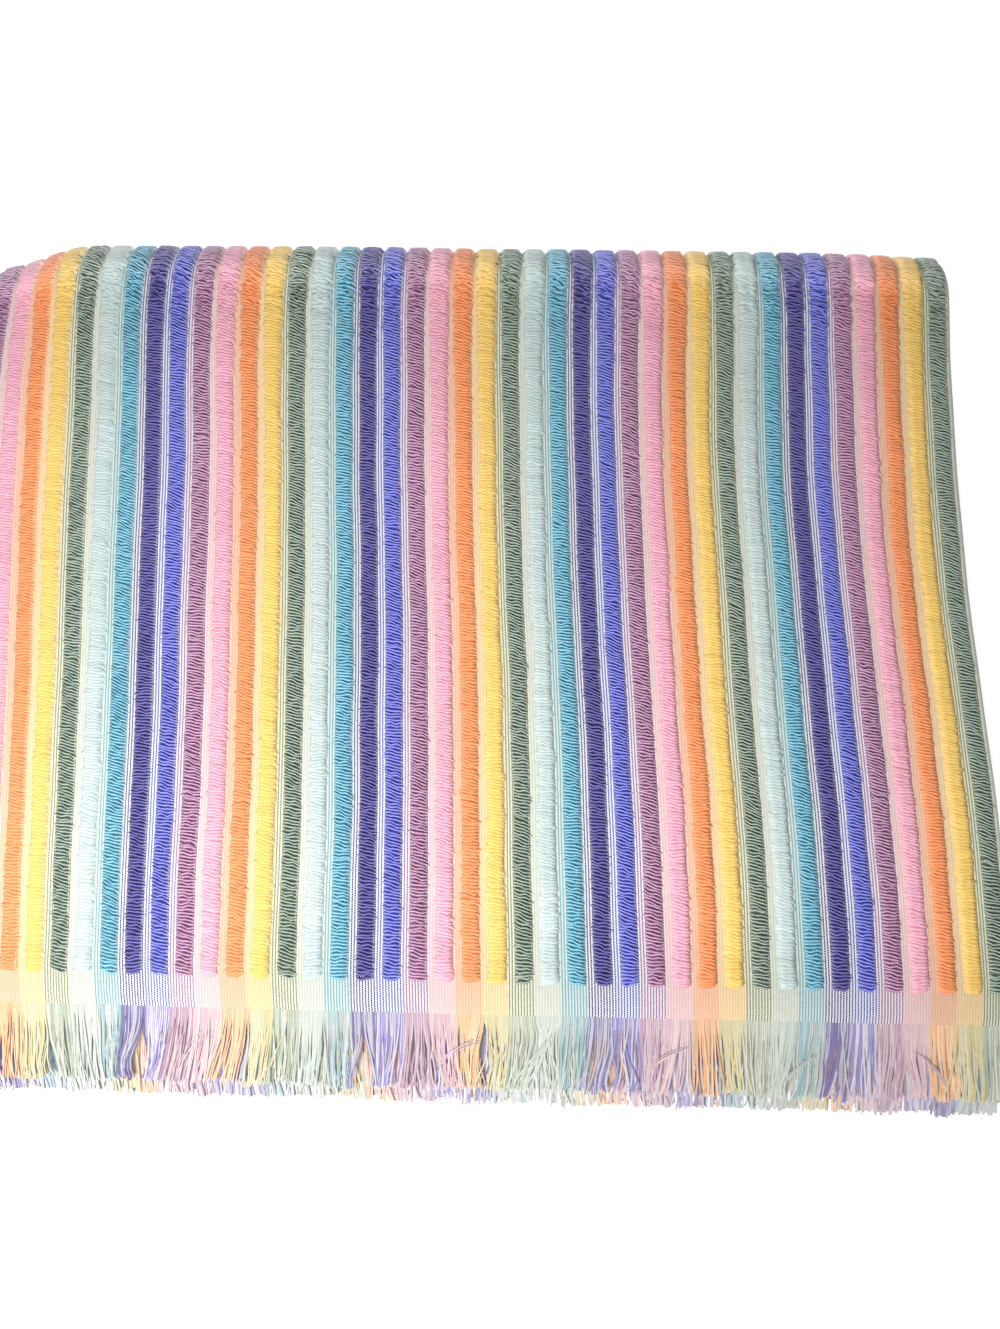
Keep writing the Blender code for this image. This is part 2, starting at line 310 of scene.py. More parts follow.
    @staticmethod
    def wander(x: np.ndarray, y: np.ndarray) -> np.ndarray:
        """How far the ribs wander sideways from straight lines.

        Args:
            x: places along the width.
            y: places from the top heading's edge.

        Returns:
            The sideways distance at each place, in metres.
        """
        aside = sum(wave.at(x, y) for wave in SWAY_WAVES)
        rows = np.array([np.interp(x, SWAY_X, values) for _, values in SWAY])
        places = np.array([place for place, _ in SWAY])
        each = np.arange(len(x))
        for step in SWAY_EVENED:
            at = np.clip(y + step, places[0], places[-1])
            k = np.clip(np.searchsorted(places, at), 1, len(places) - 1)
            share = (at - places[k - 1]) / (places[k] - places[k - 1])
            here = (1 - share) * rows[k - 1, each] + share * rows[k, each]
            aside = aside + here / len(SWAY_EVENED)
        return MM * aside

    @staticmethod
    def trough(crease: Crease, x: np.ndarray, y: np.ndarray) -> np.ndarray:
        """Depth of a crease at each place.

        Args:
            crease: the crease.
            x: places along the width.
            y: places from the top heading's edge.

        Returns:
            The depth at each place, in metres.
        """
        start, end = np.array(crease.start), np.array(crease.end)
        run = end - start
        share = ((x - start[0]) * run[0] + (y - start[1]) * run[1]) / (run @ run)
        aside = ((x - start[0]) * run[1] - (y - start[1]) * run[0]) / np.hypot(*run)
        fade = smooth(share / CREASE_END) * smooth((1 - share) / CREASE_END)
        return crease.depth * np.exp(-((aside / crease.width) ** 2)) * fade

    def carry(self, across: np.ndarray, along: np.ndarray, height: np.ndarray) -> np.ndarray:
        """Carries points of the flat cloth into the folded stack.

        Args:
            across: distance from the top sheet's selvedge, through the lengthwise fold.
            along: distance from the edge of the heading on top, along the ply's middle.
            height: distance out from the middle of the sheet, on its face side.

        Returns:
            An (N, 3) array in the frame.
        """
        turned = np.clip((across - self.top_width) / self.turn_width, 0, 1)
        on_top = np.minimum(across, self.top_width)
        past = np.maximum(across - self.top_width - self.turn_width, 0)
        reach = self.mid + height
        x = self.top_left + on_top - past + reach * np.sin(turned * math.pi)
        level = reach * np.cos(turned * math.pi)
        y, z, out_y, out_z = (np.interp(along, self.along, self.path[:, i]) for i in range(4))
        long = np.hypot(out_y, out_z)
        out_below = np.clip((along - self.out_start) / (self.out_full - self.out_start), 0, 1)
        y = y + level * out_y / long - out_below * self.end_below_out(x)
        return self.lie(x, y, z + level * out_z / long)

    def past_fold(self) -> float:
        """How much further apart the ribs are across the lengthwise fold than elsewhere."""
        return 2 * self.weave.fold_to_rib + self.turn_width - self.weave.rib_pitch

    def rib_middle(self, rib: np.ndarray) -> np.ndarray:
        """Where each rib's middle lies across the cloth, counted from the top selvedge."""
        first = self.weave.selvedge + self.weave.rib_width / 2
        beyond = np.where(rib >= self.weave.top_ribs, self.past_fold(), 0.0)
        return first + rib * self.weave.rib_pitch + beyond

    def zone(self, across: np.ndarray) -> np.ndarray:
        """Colour zone, with its fraction, of a place across the cloth.

        Args:
            across: distance from the top sheet's selvedge, through the lengthwise fold.

        Returns:
            The zone's number; a zone runs from the right edge of one rib to that of the next.
        """
        weave = self.weave
        share = np.clip((across - self.top_width) / self.turn_width, 0, 1)
        straight = across - self.past_fold() * share
        return (straight - weave.selvedge - weave.rib_width) / weave.rib_pitch + 1


# ---------------------------------------------------------------- colours and finishes


LIGHT_LEVEL = 1.75  # how much brighter than white paper the studio's light is
WARP_SHARE = 0.30  # of coloured warp in the mean colour of a flat strip


def linear(rgb: tuple[int, int, int]) -> tuple[float, float, float, float]:
    """The cloth's own colour, with alpha.

    Args:
        rgb: the colour as it looks in the studio, of 0 to 255.

    Returns:
        Red, green, blue and alpha in linear light.
    """
    parts = [v / 255 for v in rgb]
    parts = [v / 12.92 if v <= 0.04045 else ((v + 0.055) / 1.055) ** 2.4 for v in parts]
    return (*(v / LIGHT_LEVEL for v in parts), 1.0)


class Dotting(Enum):
    """How the coloured warps of a zone show in the flat cloth."""

    PLAIN = 0.0
    LINES = 0.35
    DOTS = 1.0


@dataclass(frozen=True)
class StripeColour:
    """One of the nine colours of the towel, in all the places where it shows.

    Relief is how deep the grooves between its rows look, in their shape and in the painted shade in
    them; pale yarn gets less painted shade.
    """

    name: str
    pile: tuple[int, int, int]
    warp: tuple[int, int, int]
    pale_warp: tuple[int, int, int]
    dotting: Dotting
    yarn: tuple[int, int, int]
    pale_yarn: tuple[int, int, int]
    relief: float

    def beside(self) -> tuple[float, float, float, float]:
        """Mean colour of the flat strip before the rib."""
        parts = zip(linear(self.warp), linear(self.pale_warp))
        return tuple(WARP_SHARE * warp + (1 - WARP_SHARE) * pale for warp, pale in parts)


STRIPES = (
    StripeColour("plum", (208, 164, 195), (138, 88, 134), (238, 231, 234),
                 Dotting.DOTS, (156, 127, 144), (178, 161, 166), 0.90),
    StripeColour("pink", (242, 181, 199), (223, 189, 187), (240, 206, 204),
                 Dotting.PLAIN, (179, 149, 157), (186, 168, 166), 0.26),
    StripeColour("orange", (248, 162, 110), (230, 180, 151), (242, 197, 165),
                 Dotting.LINES, (198, 152, 115), (199, 171, 142), 0.33),
    StripeColour("yellow", (244, 208, 121), (232, 198, 155), (242, 217, 169),
                 Dotting.PLAIN, (179, 168, 125), (182, 176, 151), 0.13),
    StripeColour("sage", (172, 187, 173), (122, 125, 80), (229, 232, 213),
                 Dotting.DOTS, (146, 155, 139), (176, 176, 164), 1.00),
    StripeColour("pale_aqua", (199, 214, 212), (199, 204, 191), (218, 222, 210),
                 Dotting.PLAIN, (165, 173, 166), (175, 179, 171), 0.12),
    StripeColour("teal", (142, 204, 224), (123, 169, 172), (214, 224, 222),
                 Dotting.LINES, (129, 155, 158), (173, 173, 170), 0.82),
    StripeColour("navy", (119, 114, 180), (28, 32, 98), (236, 232, 240),
                 Dotting.DOTS, (107, 100, 138), (159, 156, 168), 0.90),
    StripeColour("blue", (146, 150, 237), (58, 64, 150), (234, 236, 245),
                 Dotting.DOTS, (126, 123, 166), (176, 168, 179), 0.92),
)


class NodeSheet:
    """Adds nodes to a material or group in a short form."""

    def __init__(self, tree: bpy.types.NodeTree) -> None:
        """Args: tree: the node tree to fill."""
        self.tree = tree

    def add(self, kind: str, inputs: dict | None = None, **settings: object) -> bpy.types.Node:
        """Adds one node.

        Args:
            kind: the node's type.
            inputs: socket name or number to a value or an output socket.
            settings: attributes of the node.

        Returns:
            The new node.
        """
        node = self.tree.nodes.new(kind)
        for name, value in settings.items():
            setattr(node, name, value)
        for name, value in (inputs or {}).items():
            if isinstance(value, bpy.types.NodeSocket):
                self.tree.links.new(value, node.inputs[name])
            else:
                node.inputs[name].default_value = value
        return node

    def maths(self, operation: str, *values: object) -> bpy.types.NodeSocket:
        """Output of a Math node over up to three values or sockets."""
        return self.add("ShaderNodeMath", dict(enumerate(values)), operation=operation).outputs[0]

    def mixed(self, share: object, one: object, two: object, blend: str = "MIX") -> bpy.types.NodeSocket:
        """Mixes two colours, in sockets 6 and 7 of the node.

        Args:
            share: how much of the second colour shows.
            one: the first colour.
            two: the second colour.
            blend: the way of mixing.

        Returns:
            The mixed colour.
        """
        inputs = {0: share, 6: one, 7: two}
        return self.add("ShaderNodeMix", inputs, data_type="RGBA", blend_type=blend).outputs[2]

    def ranged(
        self, value: object, source: tuple, target: tuple = (0.0, 1.0), kind: str = "LINEAR"
    ) -> bpy.types.NodeSocket:
        """Maps a value from one range to another, and keeps it there.

        Args:
            value: the socket to map.
            source: the value's lowest and highest.
            target: what these two become.
            kind: LINEAR or SMOOTHSTEP.

        Returns:
            The output socket.
        """
        inputs = dict(enumerate((value, *source, *target)))
        return self.add("ShaderNodeMapRange", inputs, interpolation_type=kind).outputs[0]

    def noise(self, place: bpy.types.NodeSocket, scale: float, detail: float) -> bpy.types.NodeSocket:
        """Value of a Noise texture."""
        inputs = {"Vector": place, "Scale": scale, "Detail": detail}
        return self.add("ShaderNodeTexNoise", inputs).outputs[0]

    def attribute(self, name: str) -> bpy.types.NodeSocket:
        """A number that the piece stores for each point."""
        return self.add("ShaderNodeAttribute", attribute_name=name).outputs["Fac"]

    def object_place(self) -> bpy.types.NodeSocket:
        """Place on the piece, in metres."""
        return self.add("ShaderNodeTexCoord").outputs["Object"]

    def toned(self, colour: object, tone: bpy.types.NodeSocket) -> bpy.types.NodeSocket:
        """A colour made lighter or darker by a tone."""
        grey = self.add("ShaderNodeCombineColor", dict.fromkeys((0, 1, 2), tone)).outputs[0]
        return self.mixed(1.0, colour, grey, "MULTIPLY")

    def steps(self, place: bpy.types.NodeSocket, colours: list) -> bpy.types.NodeSocket:
        """Picks a colour by a place from 0 to 1, in even steps.

        Args:
            place: the place.
            colours: the colours in order.

        Returns:
            The colour of the step that holds the place.
        """
        node = self.add("ShaderNodeValToRGB", {0: place})
        ramp = node.color_ramp
        ramp.interpolation = "CONSTANT"
        while len(ramp.elements) < len(colours):
            ramp.elements.new(1.0)
        for i, colour in enumerate(colours):
            ramp.elements[i].position = i / len(colours)
            ramp.elements[i].color = colour
        return node.outputs[0]


def new_group(name: str, inputs: dict[str, str], outputs: dict[str, str]) -> bpy.types.NodeTree:
    """An empty shader group with named sockets.

    Args:
        name: the group's name.
        inputs: input names to socket types.
        outputs: output names to socket types.

    Returns:
        The group.
    """
    group = bpy.data.node_groups.new(name, "ShaderNodeTree")
    for side, sockets in (("INPUT", inputs), ("OUTPUT", outputs)):
        for socket, kind in sockets.items():
            group.interface.new_socket(socket, in_out=side, socket_type=kind)
    return group


@dataclass(frozen=True)
class CottonDetail:
    """The fine uneven surface and colour of cotton yarn, with painted shade mixed in by a share, shared
    by every finish.
    """

    name: str = "cotton_detail"
    fuzz_scale: float = 1500.0
    fine_detail: float = 2.0
    tuft_scale: float = 420.0
    wear_scale: float = 18.0
    wear_detail: float = 3.0
    base_light: float = 0.78
    fuzz_light: float = 0.16
    tuft_light: float = 0.18
    wear_light: float = 0.10
    fuzz_height: float = 0.5

    def build(self) -> bpy.types.NodeTree:
        """Makes the group.

        Returns:
            A group from Color, Deep, Tone and Depth to Color and Height.
        """
        colour, value = "NodeSocketColor", "NodeSocketFloat"
        group = new_group(
            self.name,
            {"Color": colour, "ShadeColor": colour, "Tone": value, "Depth": value},
            {"Color": colour, "Height": value},
        )
        sheet = NodeSheet(group)
        given = sheet.add("NodeGroupInput")
        place = sheet.object_place()
        fuzz = sheet.noise(place, self.fuzz_scale, self.fine_detail)
        tufts = sheet.noise(place, self.tuft_scale, self.fine_detail)
        wear = sheet.noise(place, self.wear_scale, self.wear_detail)
        light = self.base_light
        for part, share in ((fuzz, self.fuzz_light), (tufts, self.tuft_light), (wear, self.wear_light)):
            light = sheet.maths("MULTIPLY_ADD", part, share, light)
        # The tone can carry painted light and shade as well as the yarn's own tone.
        light = sheet.maths("MULTIPLY", light, given.outputs["Tone"])
        # Mixes the colour towards its painted shade colour, by the share of painted shade.
        with_shade = sheet.mixed(given.outputs["Depth"], given.outputs["Color"], given.outputs["ShadeColor"])
        height = sheet.maths("MULTIPLY_ADD", fuzz, self.fuzz_height, tufts)
        sheet.add("NodeGroupOutput", {"Color": sheet.toned(with_shade, light), "Height": height})
        return group


@dataclass(frozen=True)
class WarpLines:
    """The flat cloth's pattern: pale ground with coloured warps, zone by zone, with painted shade over
    the heading on top.

    Places beside a warp are in shares of the warps' pitch, and along it in metres.
    """

    name: str = "warp_lines"
    warps: int = 9
    dot_pitch: float = 0.00115
    under_picks: float = 0.06
    line_side: tuple[float, float] = (0.20, 0.30)
    pick_side: tuple[float, float] = (0.10, 0.32)
    hidden: float = 0.45
    low_weave: float = 0.3
    end_line: tuple[float, float] = (0.0003, 0.0009)
    end_tone: float = 0.95
    # Painted shade over the heading on top: where it ends along the cloth, and how dark it is.
    shaded_to: tuple[float, float] = (0.015, 0.06)
    heading_painted_shade: float = 0.82

    def build(self) -> bpy.types.NodeTree:
        """Makes the group.

        Returns:
            A group from Zone and Along to Color and Height.
        """
        value = "NodeSocketFloat"
        group = new_group(
            self.name,
            {"Zone": value, "Along": value},
            {"Color": "NodeSocketColor", "Height": value},
        )
        sheet = NodeSheet(group)
        given = sheet.add("NodeGroupInput")
        zone, along = given.outputs["Zone"], given.outputs["Along"]
        count = float(len(STRIPES))
        turn = sheet.maths("WRAP", sheet.maths("FLOOR", zone), count, 0.0)
        place = sheet.maths("DIVIDE", sheet.maths("ADD", turn, 0.5), count)
        warp_colour = sheet.steps(place, [linear(stripe.warp) for stripe in STRIPES])
        pale_colour = sheet.steps(place, [linear(stripe.pale_warp) for stripe in STRIPES])
        dotting = sheet.steps(place, [(stripe.dotting.value,) * 3 + (1.0,) for stripe in STRIPES])
        on_line, between = self._threads(sheet, zone, along)
        hidden = sheet.maths("MULTIPLY_ADD", between, -self.hidden, self.hidden)
        hidden = sheet.maths("MULTIPLY", dotting, hidden)
        shown = sheet.maths("MULTIPLY", on_line, sheet.maths("SUBTRACT", 1.0, hidden))
        pale = sheet.maths("SUBTRACT", 1.0, sheet.maths("MAXIMUM", shown, self.under_picks))
        woven = sheet.maths("MULTIPLY", sheet.maths("MAXIMUM", on_line, self.low_weave), between)
        edge = sheet.ranged(along, self.end_line, (self.end_tone, 1.0))
        # Painted shade over the heading on top.
        flat = sheet.ranged(along, self.shaded_to, (self.heading_painted_shade, 1.0))
        tone = sheet.maths("MULTIPLY", edge, flat)
        colour = sheet.toned(sheet.mixed(pale, warp_colour, pale_colour), tone)
        sheet.add("NodeGroupOutput", {"Color": colour, "Height": woven})
        return group

    def _threads(self, sheet: NodeSheet, zone: object, along: object) -> tuple:
        """Where the coloured warps and the gaps between the picks lie.

        Args:
            sheet: the group's node sheet.
            zone: the colour zone, with its fraction.
            along: the distance along the cloth.

        Returns:
            Masks of the warps and of the gaps between picks, which turn by half at each warp.
        """
        warp = sheet.maths("MULTIPLY", sheet.maths("FRACT", zone), float(self.warps))
        beside = sheet.maths("PINGPONG", sheet.maths("FRACT", warp), 0.5)
        on_line = sheet.ranged(beside, self.line_side, kind="SMOOTHSTEP")
        odd = sheet.maths("MODULO", sheet.maths("FLOOR", warp), 2.0)
        pick = sheet.maths("DIVIDE", along, self.dot_pitch)
        pick = sheet.maths("MULTIPLY_ADD", odd, 0.5, pick)
        cross = sheet.maths("PINGPONG", sheet.maths("FRACT", pick), 0.5)
        return on_line, sheet.ranged(cross, self.pick_side, kind="SMOOTHSTEP")


@dataclass(frozen=True)
class CottonFinish:
    """One cotton material on a Principled shader."""

    name: str
    roughness: float = 0.92
    sheen: float = 0.10
    sheen_roughness: float = 0.6
    specular: float = 0.12
    bump: float = 0.35
    bump_distance: float = 0.0004

    def start(self) -> tuple[bpy.types.Material, NodeSheet, bpy.types.Node]:
        """Makes the material with its constants set on the shader.

        Returns:
            The material, its node sheet and the shader.
        """
        material = bpy.data.materials.new(self.name)
        material.use_nodes = True
        shader = material.node_tree.nodes["Principled BSDF"]
        shader.inputs["Roughness"].default_value = self.roughness
        shader.inputs["Sheen Weight"].default_value = self.sheen
        shader.inputs["Sheen Roughness"].default_value = self.sheen_roughness
        shader.inputs["Specular IOR Level"].default_value = self.specular
        return material, NodeSheet(material.node_tree), shader

    def finish(self, sheet: NodeSheet, shader: bpy.types.Node, colour: object, height: object) -> None:
        """Feeds the shader its colour and its bumped normal.

        Args:
            sheet: the material's node sheet.
            shader: its Principled shader.
            colour: the colour's socket.
            height: the socket of the surface's fine height.
        """
        inputs = {"Strength": self.bump, "Distance": self.bump_distance, "Height": height}
        normal = sheet.add("ShaderNodeBump", inputs).outputs[0]
        sheet.tree.links.new(colour, shader.inputs["Base Color"])
        sheet.tree.links.new(normal, shader.inputs["Normal"])


@dataclass(frozen=True)
class PileFinish:
    """The loop pile of one colour, with painted shade in its grooves, and painted sheen with flecks of
    painted shade on the far roll.
    """

    stripe: StripeColour
    detail: bpy.types.NodeTree
    # The range of the depth attribute over which painted shade fills the grooves, and how dark that
    # shade is.
    groove: tuple[float, float] = (0.06, 0.60)
    groove_light: float = 0.19
    light_yarn_gain: float = 0.50
    groove_colour: float = 0.38
    # Painted sheen: the pale colour that the far roll's fuzz is mixed towards.
    haze: tuple[int, int, int] = (235, 235, 235)
    # Flecks of painted shade in the curls of the far roll, where the painted sheen lies.
    curl_scale: float = 1000.0
    curl_detail: float = 1.5
    curl_edge: tuple[float, float] = (0.50, 0.62)
    curl_painted_shade: float = 0.42
    curls_by_haze: float = 4.0

    def groove_shade(self) -> tuple[float, float, float, float]:
        """The painted shade that the pile's colour is multiplied by in its grooves.

        Returns:
            The painted shade, lighter for pale yarn and for shallow grooves.
        """
        fall = self.groove_light + self.light_yarn_gain * (1 - self.stripe.relief)
        own = [self.groove_colour * v * LIGHT_LEVEL for v in linear(self.stripe.pile)[:3]]
        return (*(min(1.0, fall + v) for v in own), 1.0)

    def build(self) -> bpy.types.Material:
        """Makes the material.

        Returns:
            The material, which reads the piece's tone, its share of painted shade, its painted sheen and
            its edges for each point.
        """
        finish = CottonFinish(f"pile_{self.stripe.name}")
        material, sheet, shader = finish.start()
        shader.inputs["Sheen Tint"].default_value = linear(self.stripe.pile)
        # The depth attribute is each point's share of painted groove shade.
        depth = sheet.ranged(sheet.attribute("depth"), self.groove)
        after = STRIPES[(STRIPES.index(self.stripe) + 1) % len(STRIPES)]
        colour = linear(self.stripe.pile)
        for side, strip in (("left", self.stripe), ("right", after)):
            colour = sheet.mixed(sheet.attribute(side), colour, strip.beside())
        # Painted sheen, stronger round the far roll.
        haze = sheet.attribute("haze")
        colour = sheet.mixed(haze, colour, linear(self.haze))
        # Painted shade flecks in the curls, where the painted sheen is.
        curl_shade = sheet.noise(sheet.object_place(), self.curl_scale, self.curl_detail)
        curled = sheet.maths("MINIMUM", sheet.maths("MULTIPLY", haze, self.curls_by_haze), 1.0)
        curled = sheet.maths("MULTIPLY", curled, self.curl_painted_shade)
        curl_shade = sheet.maths("MULTIPLY", sheet.ranged(curl_shade, self.curl_edge), curled)
        inputs = {
            "Color": colour,
            # The painted shade colour of the grooves.
            "ShadeColor": sheet.mixed(1.0, colour, self.groove_shade(), "MULTIPLY"),
            "Tone": sheet.attribute("tone"),
            "Depth": sheet.maths("MAXIMUM", depth, curl_shade),
        }
        cotton = sheet.add("ShaderNodeGroup", inputs, node_tree=self.detail)
        finish.finish(sheet, shader, cotton.outputs["Color"], cotton.outputs["Height"])
        return material


@dataclass(frozen=True)
class FlatFinish:
    """The flat cloth between the ribs and in the headings."""

    detail: bpy.types.NodeTree
    lines: bpy.types.NodeTree
    fuzz_height: float = 0.2

    def build(self) -> bpy.types.Material:
        """Makes the material.

        Returns:
            The material, which reads the zone and the place along the cloth as a UV map.
        """
        finish = CottonFinish("flat_cloth", sheen=0.04, bump=0.25, bump_distance=0.0003)
        material, sheet, shader = finish.start()
        place = sheet.add("ShaderNodeUVMap", uv_map="cloth").outputs[0]
        parts = sheet.add("ShaderNodeSeparateXYZ", {0: place}).outputs
        inputs = {"Zone": parts[0], "Along": parts[1]}
        pattern = sheet.add("ShaderNodeGroup", inputs, node_tree=self.lines)
        inputs = {"Color": pattern.outputs["Color"], "Tone": 1.0, "Depth": 0.0}
        cotton = sheet.add("ShaderNodeGroup", inputs, node_tree=self.detail)
        fuzz, woven = cotton.outputs["Height"], pattern.outputs["Height"]
        height = sheet.maths("MULTIPLY_ADD", fuzz, self.fuzz_height, woven)
        finish.finish(sheet, shader, cotton.outputs["Color"], height)
        return material


@dataclass(frozen=True)
class YarnFinish:
    """Loose fringe yarn, coloured by its own attribute, with a painted glow of that colour which
    lightens the shade between the yarns.
    """

    name: str
    painted_glow: float
    detail: bpy.types.NodeTree

    def build(self) -> bpy.types.Material:
        """Makes the material.

        Returns:
            The material, which reads each yarn's colour from the attribute "yarn".
        """
        finish = CottonFinish(self.name, sheen=0.05, bump=0.4)
        material, sheet, shader = finish.start()
        own = sheet.add("ShaderNodeAttribute", attribute_name="yarn").outputs["Color"]
        inputs = {"Color": own, "Tone": 1.0, "Depth": 0.0}
        cotton = sheet.add("ShaderNodeGroup", inputs, node_tree=self.detail)
        # Painted glow of the yarn's own colour, lightening the shade between the yarns.
        shader.inputs["Emission Strength"].default_value = self.painted_glow
        sheet.tree.links.new(cotton.outputs["Color"], shader.inputs["Emission Color"])
        finish.finish(sheet, shader, cotton.outputs["Color"], cotton.outputs["Height"])
        return material


# ---------------------------------------------------------------- shared mesh work


SPACING = 4.0  # between the tubes of a field, in their own radii, before they are placed
SHARP_FROM = 80.0  # degrees between faces


def object_of(bm: bmesh.types.BMesh, name: str) -> bpy.types.Object:
    """Links a bmesh as a new object, and frees it.

    Args:
        bm: the shape.
        name: the object's name.

    Returns:
        The object.
    """
    mesh = bpy.data.meshes.new(name)
    bm.to_mesh(mesh)
    bm.free()
    piece = bpy.data.objects.new(name, mesh)
    bpy.context.scene.collection.objects.link(piece)
    return piece


def apply_modifiers(piece: bpy.types.Object) -> None:
    """Replaces a piece's mesh by the one that its modifiers make.

    Args:
        piece: the piece, which keeps no modifier.
    """
    bpy.context.view_layer.update()
    graph = bpy.context.evaluated_depsgraph_get()
    mesh = bpy.data.meshes.new_from_object(piece.evaluated_get(graph))
    piece.modifiers.clear()
    old, piece.data = piece.data, mesh
    bpy.data.meshes.remove(old)


def points_of(piece: bpy.types.Object) -> np.ndarray:
    """Reads a piece's points.

    Args:
        piece: the piece.

    Returns:
        An (N, 3) array.
    """
    flat = np.empty(len(piece.data.vertices) * 3)
    piece.data.vertices.foreach_get("co", flat)
    return flat.reshape(-1, 3)


def move_points(piece: bpy.types.Object, points: np.ndarray) -> None:
    """Puts a piece's points in new places."""
    piece.data.vertices.foreach_set("co", points.astype(np.float32).ravel())
    piece.data.update()


def point_values(piece: bpy.types.Object, name: str, values: np.ndarray) -> None:
    """Stores one number for each point."""
    store = piece.data.attributes.new(name, "FLOAT", "POINT")
    store.data.foreach_set("value", values.astype(np.float32))


@dataclass(frozen=True)
class Tubes:
    """Many equal tubes in one piece, with the place of each point in its own tube."""

    piece: bpy.types.Object
    number: np.ndarray
    share: np.ndarray
    aside: np.ndarray
    up: np.ndarray
    sections: int

    def station(self) -> np.ndarray:
        """Number, along its tube, of the ring that each point lies in."""
        return np.round(self.share * self.sections).astype(int)


def tube_field(name: str, count: int, sides: int, sections: int) -> Tubes:
    """Makes many equal tubes along Y as one joined mesh, to be placed point by point.

    Args:
        name: the piece's name.
        count: how many tubes.
        sides: sides of each tube.
        sections: lengths that each tube is divided into.

    Returns:
        The tubes.
    """
    bm = bmesh.new()
    turned = Matrix.Rotation(math.pi / 2, 4, "X") @ Matrix.Rotation(math.pi / sides, 4, "Z")
    bmesh.ops.create_cone(
        bm, cap_ends=True, segments=sides, radius1=1.0, radius2=1.0, depth=2.0, matrix=turned
    )
    long = [e for e in bm.edges if abs(e.verts[0].co.y - e.verts[1].co.y) > 1]
    bmesh.ops.subdivide_edges(bm, edges=long, cuts=sections - 1)
    piece = object_of(bm, name)
    copies = piece.modifiers.new("copies", "ARRAY")
    copies.count = count
    copies.use_relative_offset = False
    copies.use_constant_offset = True
    copies.constant_offset_displace = (SPACING, 0.0, 0.0)
    apply_modifiers(piece)
    flat = points_of(piece)
    number = np.round(flat[:, 0] / SPACING).astype(int)
    aside = flat[:, 0] - number * SPACING
    return Tubes(piece, number, (flat[:, 1] + 1) / 2, aside, flat[:, 2], sections)


def dress(piece: bpy.types.Object, material: bpy.types.Material, node: str) -> None:
    """Gives a piece its material and its place in the frame, and reports it.

    Args:
        piece: the piece.
        material: its finish.
        node: the node of the frame that it replaces.
    """
    piece.data.materials.clear()
    piece.data.materials.append(material)
    piece.data.shade_smooth()
    piece.data.set_sharp_from_angle(angle=math.radians(SHARP_FROM))
    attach(piece, "root")
    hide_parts(node)
    LOG.info("%s: %d faces", piece.name, len(piece.data.polygons))


# ---------------------------------------------------------------- the pieces


def ramp(value: np.ndarray, start: float, run: float) -> np.ndarray:
    """Rises softly from 0 at the start to 1 a run further on."""
    return smooth((value - start) / run)


